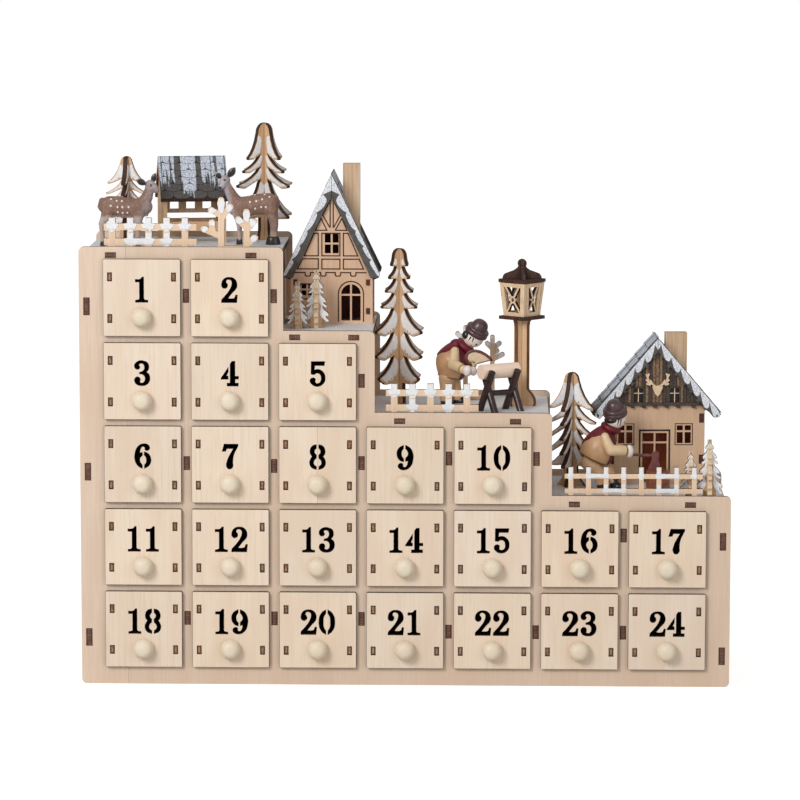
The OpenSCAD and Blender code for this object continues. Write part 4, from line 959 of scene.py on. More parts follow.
def roofNormals(turn, lean):
    out, steep = turned(turn, 0, -1), math.sqrt(1 + lean * lean)
    return [(out * lean * side + high) / steep for side in (-1, 1)]


# Hay rack: engraved shingles between the two gable plates

rack = {"at": (-144.1, 31.7, 282.88), "turn": 10, "wide": 42, "tall": 55.5, "run": 22.0, "eaves": 0.53,
        "bands": [(-20.6, 0.35, 0.9), (-14.9, 0.5, 0.9), (-10.0, 2.1, 0.97), (3.7, 1.7, 0.97),
                  (12.1, 0.35, 0.9), (15.4, 0.8, 0.9), (21.4, 0.5, 0.9)],
        "drifts": [(-2.9, 4.4, 0.3)]}


def finishRack():
    at, turn, tall, run = Vector(rack["at"]), rack["turn"], rack["tall"], rack["run"]
    lean = tall * (1 - rack["eaves"]) / run
    finish = roofFinish("rackRoof", roofNormals(turn, lean), at, turn, 1, run, 0.53, 0.013,
                        rack["bands"], rack["drifts"])
    coverRoof("rackShingles", at + high * tall, turn, lean, run, rack["wide"] + 3, 4, 6, finish, 5)
    paintNode("hay_rack_roof", woodFinish("rackRoofBoards", dict(warmLook, burnt=(46, 28, 20)),
                                          [turned(turn)], at, turn))
    paintNode("hay_rack", crossedWood("rackWood", warmLook, at, turn))


finishRack()
print("hay rack made")


# Timber house. The photograph's gable boards narrow downwards, so they are cut here

house = {"at": (-50.19, 29.96, 229.94), "wide": 54, "deep": 40, "tall": 99.4, "lean": 2.25,
         "tip": 30.2, "roofThick": 2.8, "line": 0.8, "out": (31.9, 33.6),
         "door": 12.69, "doorHalf": 8.3, "archFoot": 20, "archRadius": 8.32,
         "window": -16.2, "windowHalf": 4.9, "windowTop": 26.5, "windowFoot": 16.6,
         "tabHeights": (0.28, 0.9), "tabHalf": (1.3, 0.06, 2.0),
         "inner": [(25.6, 31.0), (23.3, 36.4), (12.0, 60.0), (0.05, 84.6)]}

# Inner edge of the snow: heights, and distances across from the boards' outer edge
houseSnow = [(85.8, 1.1), (84.5, 3.0, 1), (82.5, 5.0, 1), (79.5, 5.6, 1), (76.5, 4.8, 1),
             (74.0, 2.3), (72.8, 3.4, 1), (70.0, 4.0, 1), (66.0, 3.9, 1), (63.5, 3.2, 1),
             (61.8, 2.1), (60.5, 3.1, 1), (58.0, 3.4, 1), (55.0, 3.2, 1), (53.0, 2.6, 1),
             (52.0, 1.8), (50.8, 3.0, 1), (48.5, 3.3, 1), (45.5, 2.9, 1), (43.8, 2.0, 1),
             (42.9, 1.0), (41.5, 2.9, 1), (38.5, 3.2, 1), (35.8, 2.6, 1)]


def boxed(x1, z1, x2, z2):
    return [(x1, z1), (x2, z1), (x2, z2), (x1, z2), (x1, z1)]


def finishHouse():
    at = Vector(house["at"])
    peak, lean, tip, t = house["tall"], house["lean"], house["tip"], house["roofThick"]
    steep = math.sqrt(1 + lean * lean)
    wide, low = house["out"]
    half = [(0.05, peak), (wide, low), (wide - 0.6, low - 2.4), (wide - 1.6, low - 3)] + house["inner"]
    face = house["deep"] / 2
    parts = []
    for y in (-face - ply / 2 - clear, face + ply / 2 + clear):
        for side in (-1, 1):
            parts.append((cutSheet([flipped(half, side)], ply, 0.15), standing(at.x, at.y + y, at.z)))
    link("houseBarges", joined(parts), ["roofPaint", "burntEdge"], stands="timber_house_roof")
    top = peak - 1
    loop = [(0.05, top), (tip, top - lean * tip), (tip - t * lean / steep, top - lean * tip - t / steep),
            (0.05, top - t * steep)]
    slopes = [(cutSheet([flipped(loop, side)], house["deep"], 0.15), standing(*at)) for side in (-1, 1)]
    finish = roofFinish("houseRoof", roofNormals(90, lean), at, 0.0, 0, tip, 0.5, 0.031)
    link("houseRoofBoards", joined(slopes), [finish, finish])
    coverRoof("houseShingles", at + high * top, 90, lean, tip - 0.3, house["deep"] - 0.4, 4, 9, finish, 11)

    # Snow on the front boards
    fall = (peak - low) / wide
    outer = [(0.1, peak - 0.4), (wide - 0.25, low + 0.1), (wide - 0.7, low - 1.6),
             (wide - 1.5, low - 1.2, 1)]
    edge = [(0.1, 88.5)] + [((peak - spot[0]) / fall - spot[1], spot[0], *spot[2:]) for spot in houseSnow]
    snowSheets("houseSnow", [flipped(outer + edge[::-1], side) for side in (-1, 1)],
               (at.x, at.y - face - ply - clear, at.z), finish="glitterSnow")

    # Timber framing burnt into the wall, in mm from the middle of the wall's foot
    lines = [[(-1.0, 82), (-1.0, 64.2)], [(1.0, 82), (1.0, 64.2)],
             [(-6.9, 69.8), (-3.3, 62.2)], [(-5.7, 71.8), (-1.4, 64.2)],
             [(6.7, 69.8), (2.6, 62.6)], [(5.6, 71.8), (1.4, 64.2)],
             [(-10.8, 62.1), (-3.1, 62.1)], [(9.9, 62.1), (2.6, 62.1)],
             [(-1.9, 80), (-6.0, 71.9)], [(1.9, 80), (6.0, 71.9)],
             [(-7.1, 69.5), (-10.8, 62.1)], [(6.9, 69.5), (10.1, 62.1)],
             boxed(-6.5, 60.1, 5.4, 45.2),
             [(-8.9, 60.1), (-8.9, 45.2), (-18.2, 45.2), (-11.6, 60.1), (-8.9, 60.1)],
             [(7.7, 60.1), (7.7, 45.2), (17.2, 45.2), (10.8, 60.1), (7.7, 60.1)],
             [(-8.9, 43.2), (-8.9, 36.5), (-22.6, 36.5), (-19.4, 43.2), (-8.9, 43.2)],
             boxed(-6.5, 43.0, 5.4, 36.5),
             [(7.7, 43.0), (7.7, 36.5), (21.0, 36.5), (18.1, 43.0), (7.7, 43.0)]]
    rail = [(-24.4, 34.1)]
    for x in (-15.8, -5.6, 4.1, 14.2):
        rail += [(x - 1.8, 34.1), (x - 1.7, 32.4), (x - 1.1, 31.8), (x + 1.1, 31.8),
                 (x + 1.7, 32.4), (x + 1.8, 34.1)]
    lines.append(rail + [(22.6, 34.1)])
    door, half, foot = house["door"], house["doorHalf"], house["archFoot"]
    arch = [polar(house["archRadius"], a) for a in range(0, 181, 15)]
    lines.append([(door + half, 2.0)] + [(door + x, foot + z) for x, z in arch] + [(door - half, 2.0)])
    window, half = house["window"], house["windowHalf"]
    lines.append(boxed(window - half, house["windowTop"], window + half, house["windowFoot"]))
    link("houseLines", grooves(lines, house["line"], standing(at.x, at.y - face, at.z)), ["burntEdge"])
    look = dict(warmLook, pale=(222, 186, 156), deep=(194, 154, 120), tint=(208, 168, 136))
    # Painted shade: inside its walls the house turns a dark red-brown, where it is unlit
    paintNode("timber_house_walls",
              crossedWood("houseWall", look, at, paintedShadeInside=(house["wide"] / 2 - ply + 0.2,
                                                         face - ply + 0.2, (128, 52, 30))))
    ends = []
    eaves = peak - 1 - t * steep - clear - lean * house["wide"] / 2
    for side in (-1, 1):
        for share in house["tabHeights"]:
            spots = [Vector((side * (house["wide"] / 2 - ply), y, share * eaves)) for y in (-face, face)]
            ends += [(spot - Vector(house["tabHalf"]), spot + Vector(house["tabHalf"])) for spot in spots]
    link("houseTabs", slabs(ends, 0.03, 0, move(*at)), ["darkTabs"])


finishHouse()
print("timber house made")


# Cabin: a dark boarded gable, framed door and windows, icicles of snow on its gable boards

cabin = {"at": (164.76, 41.32, 121.71), "turn": 3, "wide": 64, "deep": 31, "tall": 98.5, "lean": 1.18,
         "tip": 43.0, "gableThick": 2.2, "gableHalf": 31.04, "tabIn": 2.1,
         "spikes": [2.0, 8.6, 15.0, 21.6, 28.2, 34.6, 40.6]}
gableFoot = {"foot": 53.0, "rail": 55.0, "windowLow": 55.4, "windowTop": 64.6, "windowWide": 6.2,
             "windows": (-12.6, 11.5), "slat": 2.3,
             "pendants": (-23.9, -16.3, -8.7, -1.1, 6.5, 14.1, 24.4)}
openings = {"doorX": -1.35, "doorWide": 16.0, "doorTop": 34.2, "doorBar": 28.0, "bar": 1.5,
            "windowX": (-20.9, 18.1), "windowWide": 9.2, "sill": 27.6, "head": 39.3,
            "windowBar": 35.5}


def cabinSnow(peak, lean, tip, steep, rng):
    # The snow on one half of the front's roof boards, with icicles between its spikes
    spikes = cabin["spikes"]
    outer = [(0.1, peak - 0.5)] + [(x, peak - lean * x - drop, *mark) for x, drop, mark in (
        (tip - 3.6, 0.5, ()), (tip - 1.6, 1.6, (1,)), (tip - 2.0, 4.6, (1,)), (tip - 4.4, 6.6, (1,)))]
    ragged = [(0.1, peak - 5.2 * steep)]
    for i, x in enumerate(spikes):
        spike = 1.5 + rng.uniform(-0.4, 0.5)
        ragged.append((x, peak - lean * x - spike * steep))
        if i + 1 < len(spikes):
            reach = (5.5 + rng.uniform(-0.4, 0.5)) * steep
            for share, length in ((0.2, 0.74), (0.34, 0.95), (0.6, 1.0), (0.84, 0.8)):
                spot = x + (spikes[i + 1] - x) * share
                ragged.append((spot, peak - lean * spot - reach * length, 1))
    return outer + ragged[::-1]


def cabinFront():
    # Panes of the door and the two windows: each has short upper and tall lower panes
    loops, bar = [], openings["bar"]
    frames = [(openings["doorX"], openings["doorWide"], 1.4, openings["doorBar"], openings["doorTop"])]
    frames += [(x, openings["windowWide"], openings["sill"], openings["windowBar"], openings["head"])
               for x in openings["windowX"]]
    for x, wide, low, middle, top in frames:
        pane = (wide - bar) / 2
        for px in (x - (pane + bar) / 2, x + (pane + bar) / 2):
            for z1, z2 in ((low, middle - bar / 2), (middle + bar / 2, top)):
                loops.append(rectangle(px, (z1 + z2) / 2, pane, z2 - z1))
    return loops


def makeGable(wallPeak, onFace, rng):
    # The gable board: a rail with pendants at its foot, two windows, and upright slats
    turn, lean, thick = cabin["turn"], cabin["lean"], cabin["gableThick"]
    foot, rail, low, top = [gableFoot[key] for key in ("foot", "rail", "windowLow", "windowTop")]
    windows, w = gableFoot["windows"], gableFoot["windowWide"] / 2
    edge = cabin["gableHalf"]
    outline = [(-edge, foot)]
    for x in gableFoot["pendants"]:
        outline += [(x - 1.4, foot), (x - 1.2, foot - 1.3, 1), (x, foot - 1.9, 1),
                    (x + 1.2, foot - 1.3, 1), (x + 1.4, foot)]
    outline += [(edge, foot), (edge, wallPeak - lean * edge), (0, wallPeak),
                (-edge, wallPeak - lean * edge)]
    holes = [rectangle(x, (low + top) / 2, 2 * w, top - low) for x in windows]
    mesh = cutSheet([outline] + holes, thick, 0.15)
    mesh.transform(standing(*onFace(clear + thick / 2), turn))
    link("gableBoard", mesh, ["darkBoards", "burntEdge"], stands="cabin_gable")
    slats, pale, step = [], [], gableFoot["slat"]
    for i in range(round(2 * edge / step)):
        x = -edge + i * step
        middle = x + step / 2
        end = wallPeak - lean * max(abs(x), abs(x + step)) - 0.5
        over = any(abs(middle - spot) < w + 1.4 for spot in windows)
        start = top + 1.3 if over else rail + 0.2
        if end > start + 1:
            light = rng.random() < 0.4 or abs(abs(middle) - 2.3) < 1.2
            (pale if light else slats).append(((x + 0.22, -0.45, start), (x + step - 0.22, 0.05, end)))
    frames, bars, panes = [((-edge + 0.4, -0.55, foot + 0.2), (edge - 0.4, 0.05, rail))], [], []
    for x in windows:
        frames += [((x - w - 1.1, -0.6, low - 0.2), (x - w + 0.05, 0.05, top + 1.1)),
                   ((x + w - 0.05, -0.6, low - 0.2), (x + w + 1.1, 0.05, top + 1.1)),
                   ((x - w - 1.1, -0.6, top), (x + w + 1.1, 0.05, top + 1.1))]
        bars += [((x - 0.3, -0.3, low - 0.05), (x + 0.3, 0.1, top + 0.05)),
                 ((x - w + 0.1, -0.31, top - 3.6), (x + w - 0.1, 0.1, top - 3.0))]
        panes.append(((x - w + 0.05, 1.2, low + 0.05), (x + w - 0.05, 1.6, top - 0.05)))
    place = move(*onFace(clear + thick)) @ spin(turn)
    for name, boxes, paint in (("gableSlats", slats, "darkBoards"), ("gablePale", pale, "paleBoards"),
                               ("gableFrames", frames, "darkBoards"), ("gableBars", bars, "barePly"),
                               ("gablePanes", panes, "blackPane")):
        link(name, slabs(boxes, 0.1, 0, place), [paint])


def makeCabinWalls(wallPeak, at):
    turn, face, half = cabin["turn"], cabin["deep"] / 2, cabin["wide"] / 2
    side = half - cabin["tabIn"]
    eaves = wallPeak - cabin["lean"] * half
    shape = [(-half, 0), (half, 0), (half, eaves), (0, wallPeak), (-half, eaves)]
    slots = [rectangle(x, share * eaves, ply, 6) for x in (-side, side) for share in (0.3, 0.8)]
    parts = [(cutSheet([shape] + slots + holes, ply, 0.12), standing(*(at + turned(turn, 0, y)), turn))
             for y, holes in ((-face + ply / 2, cabinFront()), (face - ply / 2, []))]
    sides, ends = [], []
    inner = face - ply - clear
    for x in (-side, side):
        sides.append(((x - ply / 2, -face + ply + clear, 0), (x + ply / 2, inner, eaves - clear)))
        for share in (0.3, 0.8):
            ends += [((x - 1.42, y1, share * eaves - 2.92), (x + 1.42, y2, share * eaves + 2.92))
                     for y1, y2 in ((-face, -inner), (inner, face))]
    place = move(*at) @ spin(turn)
    parts += [(slabs(sides, 0.05), place), (slabs(ends, 0.05, 2), place)]
    look = dict(warmLook, pale=(214, 180, 148), deep=(190, 152, 120), tint=(202, 166, 134))
    # Painted shade: inside its walls the cabin turns red-brown, standing in for its unlit inside
    wall = crossedWood("cabinWall", look, at, turn, paintedShadeInside=(side - ply / 2 + 0.2, face - ply + 0.2,
                                                            (205, 100, 58)))
    link("cabinWalls", joined(parts), [wall, "burntEdge", "darkTabs"], stands="cabin_walls")


def finishCabin():
    at, turn = Vector(cabin["at"]), cabin["turn"]
    peak, lean, tip = cabin["tall"], cabin["lean"], cabin["tip"]
    steep = math.sqrt(1 + lean * lean)
    rng = random.Random(12)

    def onFace(out):
        # A point on the cabin's front, out in front of its wall
        return at + turned(turn, 0, -cabin["deep"] / 2 - out)
    snowSheets("cabinSnow", [flipped(cabinSnow(peak, lean, tip, steep, rng), side) for side in (-1, 1)],
               onFace(2 * clear + cabin["gableThick"] + ply), turn, finish="glitterSnow")
    finish = roofFinish("cabinRoof", roofNormals(turn + 90, lean), at, turn, 0, tip, 0.75, 0.07)
    coverRoof("cabinShingles", at + high * (peak - 1), turn + 90, lean, tip - 0.4, cabin["deep"] - 0.4,
              3, 7, finish, 21)
    paintNode("cabin_roof", "roofPaint")
    wallPeak = peak - 1 - 2.8 * steep - clear
    makeGable(wallPeak, onFace, rng)
    makeCabinWalls(wallPeak, at)
    paintNode("cabin_antlers", "barePly")

    # Frames burnt round the door and the windows
    x, half, top = openings["doorX"], openings["doorWide"] / 2 + 1.9, openings["doorTop"] + 1.9
    door = [[(x + s * half, 0.4), (x + s * half, top), (x + s * 0.6, top)][::-s] for s in (-1, 1)]
    w, sill, head = openings["windowWide"] / 2 + 1.15, openings["sill"] - 1.2, openings["head"] + 1.2
    windows = [boxed(wx - w, sill, wx + w, head) for wx in openings["windowX"]]
    for name, lines, wide in (("doorFrame", door, 1.25), ("windowFrames", windows, 0.6)):
        link(name, grooves(lines, wide, standing(*onFace(0), turn)), ["burntEdge"])


finishCabin()
print("cabin made")

paintNode("chimneys", woodFinish("chimneyWood", dict(
    warmLook, pale=(216, 188, 156), deep=(170, 132, 98), tint=(192, 158, 124),
    fibre=(0.0014, 0.0014, 0.04), grain=0.8)))


# Lamp: crossed plates, with the burnt rims of the lantern's cut boards

lamp = {"at": (75.4, 17.5, 175.65), "turn": -40, "floor": 2.25, "top": 24.3}


def finishLamp():
    at, turn = lamp["at"], lamp["turn"]
    look = dict(warmLook, pale=(232, 198, 160), deep=(204, 166, 126), burnt=(92, 58, 36),
                scorch=(140, 98, 64))
    paintNode("lamp_post", crossedWood("lampPost", look, at, turn, ply / 2 + 0.1))
    wood = Finish("lanternWood")
    fine = wood.noise((0.0008, 0.0008, 0.006), where=(at, turn))
    flats = [wood.facing(turned(turn + angle)) for angle in (90, 0, 45, 135)]
    pale = wood.mix((240, 212, 178), (214, 180, 142), fine.ramp(0.35, 0.7))
    char = wood.mix((82, 44, 28), (42, 22, 16), fine.ramp(0.4, 0.6))
    # The plates below and above the pale boards are stained too
    rise = wood.parts(at, turn)[2] + (at[2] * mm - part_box("lantern")[0].z)
    plates = (rise < lamp["floor"] * mm) + (rise > lamp["top"] * mm)
    flat = wood.mix((0, 0, 0, 1), (1, 1, 1, 1), sum(flats[1:], flats[0]))
    flat = wood.mix((0, 0, 0, 1), flat, 1 - plates)
    paintNode("lantern", wood.done(Base_Color=wood.mix(char, pale, flat), Roughness=0.6,
                                   Normal=wood.bump(fine, 0.0001)))


finishLamp()
print("lamp made")


# Figures: limbs are chains of balls and cones, blended to one skin by a voxel remesh

def ball(made, radius, steps, matrix):
    bmesh.ops.create_uvsphere(made, u_segments=steps, v_segments=steps // 2, radius=radius,
                              matrix=matrix)


def limb(made, points, steps=20):
    for i, (x, y, z, r) in enumerate(points):
        ball(made, r * mm, steps, move(x, y, z))
        if i:
            start, end = Vector(points[i - 1][:3]), Vector((x, y, z))
            bmesh.ops.create_cone(made, cap_ends=True, segments=steps,
                                  radius1=points[i - 1][3] * mm, radius2=r * mm,
                                  depth=(end - start).length * mm,
                                  matrix=move(*(start + end) / 2) @ looking(end - start))


def blended(limbs, voxel=0.42, rounds=8, squash=1.0, index=0):
    made = bmesh.new()
    for points in limbs:
        limb(made, points)
    made.transform(Matrix.Diagonal((1, squash, 1, 1)))
    holder = placed("limbs", meshFrom(made))
    remesh = holder.modifiers.new("skin", "REMESH")
    remesh.mode = "VOXEL"
    remesh.voxel_size = voxel * mm
    smooth = holder.modifiers.new("smooth", "SMOOTH")
    smooth.factor = 0.6
    smooth.iterations = rounds
    return meshFrom(opened(baked(holder)), index, True)


def balls(spots, index=0, steps=16, flat=(1, 1, 1)):
    # Small balls: centre, radius and an optional turn
    made = bmesh.new()
    for centre, radius, *turn in spots:
        matrix = move(*centre) @ (turn[0] if turn else Matrix()) @ Matrix.Diagonal((*flat, 1))
        ball(made, radius * mm, steps, matrix)
    return meshFrom(made, index, True)


# Deer: carved and painted, drawn in mm about the feet and looking along x

deers = {
    "deer_left": {
        "at": (-185.5, -5.8, 282.88), "ahead": 1, "squash": 0.84, "paleNeck": 0.4, "belly": 0.75,
        "shins": (9.0, 15.0),
        "limbs": [
            [(-9.5, 0, 25.6, 7.0), (-4, 0, 25.7, 6.9), (3, 0, 24.6, 6.6), (9.5, 0, 24.4, 6.6),
             (13.2, 0, 25.6, 5.4)],
            [(11.4, 0, 26.5, 5.2), (14.8, 0, 31.6, 3.9), (16.2, 0, 36.2, 3.1), (16.8, 0, 39.4, 2.9)],
            [(17.0, 0, 39.9, 3.5), (19.0, -0.3, 38.4, 3.0), (20.9, -0.5, 36.5, 2.1),
             (21.6, -0.5, 35.9, 1.5)],
            [(-14.6, 0, 29.4, 2.2), (-16.2, 0, 25.6, 1.6), (-15.9, 0, 23.4, 0.8)]],
        "legs": [[(-10, 3.4, 23, 5.0), (-12.6, 3.6, 18.3, 3.1), (-15.2, 3.6, 14.6, 1.75),
                  (-14.6, 3.6, 8.5, 1.3), (-14.3, 3.6, 3.2, 1.2)],
                 [(9.5, 3.4, 21, 3.8), (9.0, 3.6, 15, 2.2), (8.9, 3.6, 9, 1.4),
                  (8.9, 3.6, 3.2, 1.2)]],
        "hooves": [(-14.2, 3.6, 1.5, 3.6), (9.1, 3.6, 1.5, 3.6)],
        "ears": [((15.0, -2.2, 40.4), (8.0, -3.2, 43.6), 2.2), ((18.3, 0.6, 41.0),
                                                                (20.6, 0.4, 47.9), 2.0)],
        "eyes": [(17.7, 39.9)], "nose": (21.6, -0.6, 36.6, 1.0),
        "spots": [(-8.4, 30.8), (-4.6, 29.8), (-1.2, 29.6), (-8.4, 26.6), (-4.0, 25.8),
                  (-0.8, 25.7), (3.2, 25.7), (-3.9, 22.4), (-0.7, 21.9), (2.4, 22.0)]},
    "deer_right": {
        "at": (-102.8, 7.9, 282.88), "ahead": -1, "squash": 0.84, "paleNeck": 1.0, "belly": 0.12,
        "shins": (6.0, 10.0),
        "limbs": [
            [(-11.0, 0, 26.6, 7.2), (-4, 0, 26.4, 6.9), (3, 0, 25.0, 6.7), (8.5, 0, 24.6, 6.6),
             (10.2, 0, 24.6, 6.2)],
            [(9.8, 0, 26.5, 5.2), (12.8, 0, 31.6, 3.9), (15.6, 0, 36.8, 3.2), (17.4, 0, 40.2, 3.1)],
            [(17.4, -0.4, 42.0, 3.5), (18.2, -2.0, 40.6, 3.0), (19.4, -4.4, 38.4, 1.9),
             (19.9, -5.2, 37.6, 1.4)],
            [(-15.6, 0, 30.4, 2.3), (-17.2, 0, 26.4, 1.7), (-16.8, 0, 24.0, 0.9)]],
        "legs": [[(-12.4, 3.4, 23, 5.0), (-14.2, 3.3, 17.5, 3.2), (-14.8, 3.2, 13, 2.7),
                  (-14.6, 3.2, 9, 2.4), (-14.4, 3.2, 5.2, 2.4)],
                 [(8.8, 3.4, 20, 3.6), (8.2, 3.6, 14, 2.0), (8.0, 3.6, 9, 1.4),
                  (8.0, 3.6, 3.2, 1.3)]],
        "hooves": [(-14.0, 3.2, 4.2, 5.4), (8.2, 3.6, 1.7, 3.8)],
        "ears": [((15.9, -0.6, 43.8), (10.6, -0.8, 50.8), 2.5), ((19.4, -0.6, 43.0),
                                                                 (24.0, -0.8, 47.3), 2.0)],
        "eyes": [(17.6, 42.6)], "nose": (20.3, -6.4, 37.6, 1.1),
        "spots": [(1.4, 32.0), (-2.2, 32.8), (-8.6, 33.0), (-12.0, 31.6), (-7.2, 30.0),
                  (0.8, 28.2), (-3.4, 28.8), (-2.6, 23.9), (-6.6, 25.0), (-9.6, 25.1)]},
}


def furFinish(name, deer):
    fur = Finish(name)
    at = deer["at"]
    spots = fur.parts(at)
    forward, up = spots[0] * (deer["ahead"] / mm), spots[2] * (1 / mm)
    hair = fur.noise((0.00035, 0.0009, 0.0022), 4.0, 0.6, 0.0, (at, 0.0, 35))
    mottle = fur.noise(0.003, 3.0, where=(at,))
    wobble = (mottle - 0.5) * 4
    grey = fur.mix((200, 192, 198), (150, 142, 148), hair.ramp(0.3, 0.7))
    pale = fur.mix((214, 204, 196), (176, 160, 150), hair.ramp(0.3, 0.7))
    tone = fur.mix((158, 124, 106), (106, 78, 66), hair.ramp(0.35, 0.68))
    tone = fur.mix(tone, (122, 88, 76), mottle.ramp(0.4, 0.6) * 0.5)
    tone = fur.mix(tone, pale, (1 - (up + wobble).ramp(18.6, 21.0)) * deer["belly"])
    front = (forward * 0.72 - up * 0.2 + wobble).ramp(2.4, 5.4)
    tone = fur.mix(tone, grey, front * deer["paleNeck"])
    tone = fur.mix(tone, grey, (up + wobble * 0.4).ramp(36.5, 39.5) * 0.55)
    shins = 1 - (up + wobble).ramp(*deer["shins"])
    tone = fur.mix(tone, fur.mix((196, 172, 152), (168, 140, 120), hair), shins * 0.8)
    return fur.done(Base_Color=tone, Roughness=0.62, Normal=fur.bump(hair, 0.00025, 0.7))


def leaf(root, tip, wide, index, out=0.0, scale=1.0):
    # A pointed ear whose flat faces the viewer
    root, tip = Vector(root), Vector(tip)
    way = (tip - root).normalized()
    front = (-deep - way * (-deep).dot(way)).normalized()
    made = bmesh.new()
    bmesh.ops.create_uvsphere(made, u_segments=20, v_segments=14, radius=1.0)
    for vertex in made.verts:
        x, y, z = vertex.co
        share = (z + 1) / 2
        w = wide * scale * (0.62 + 1.1 * share - 1.25 * share ** 3)
        vertex.co = (x * w, y * 0.32 * w, z * (tip - root).length / 2 * scale)
    lay = Matrix((front.cross(way), front, way)).transposed().to_4x4()
    made.transform(move(*(root + tip) / 2 - deep * out) @ lay @ Matrix.Scale(mm, 4))
    return meshFrom(made, index, True)


def makeDeer(name, deer):
    limbs = list(deer["limbs"])
    for leg in deer["legs"]:
        limbs += [leg, [(x, -y, z, r) for x, y, z, r in leg]]
    skin = blended(limbs, 0.42, 6, deer["squash"])
    near = opened(skin)
    tree = BVHTree.FromBMesh(near)
    near.free()

    def onSkin(x, z, out=0.0):
        spot, normal = tree.ray_cast(Vector((x, -40, z)) * mm, deep)[:2]
        return spot / mm + normal * out, normal
    # Paint slots: fur is the first
    cream, black = 1, 2
    meshes = [skin]
    for x, z in deer["spots"]:
        spot, normal = onSkin(x, z)
        meshes.append(balls([(spot, 0.66, looking(normal))], cream, 12, (1, 1.15, 0.4)))
    for x, z in deer["eyes"]:
        spot, far = onSkin(x, z, -0.25)[0], onSkin(x, z)[0]
        glint = spot + Vector((0.25, -0.72, 0.35))
        meshes += [balls([(spot, 0.85), ((x, -far.y, z), 0.85)], black), balls([(glint, 0.17)], cream, 8)]
    *nose, r = deer["nose"]
    meshes.append(balls([(nose, r)], black, 12, (0.9, 1, 0.8)))
    for root, tip, wide in deer["ears"]:
        meshes += [leaf(root, tip, wide, 0), leaf(root, tip, wide, black, 0.35, 0.84)]
    for x, y, wide, tall in deer["hooves"]:
        for side in (-1, 1):
            hoof = lathe([(0, 0), (wide * 1.12, 0), (wide * 1.15, 0.5), (wide * 0.92, tall * 0.8),
                          (wide * 0.8, tall), (0, tall)], 20, black)
            hoof.transform(move(x, y * side * deer["squash"], 0) @ Matrix.Diagonal((1.0, 0.62, 1, 1)))
            meshes.append(hoof)
    # A look along -x mirrors the deer front to back, so its near side stays near
    mirror = move(*deer["at"]) @ Matrix.Diagonal((deer["ahead"], 1, 1, 1))
    whole = opened(joined([(mesh, mirror) for mesh in meshes]))
    if deer["ahead"] < 0:
        bmesh.ops.reverse_faces(whole, faces=whole.faces)
    link(name + "Skin", meshFrom(whole), [furFinish(name + "Fur", deer), "creamDots", "blackPaint"],
         stands=name)


for name, deer in deers.items():
    makeDeer(name, deer)
print("deer made")


# Turned men: a coat with a cape, tapered sleeves, mittens, and a capped head with a painted face

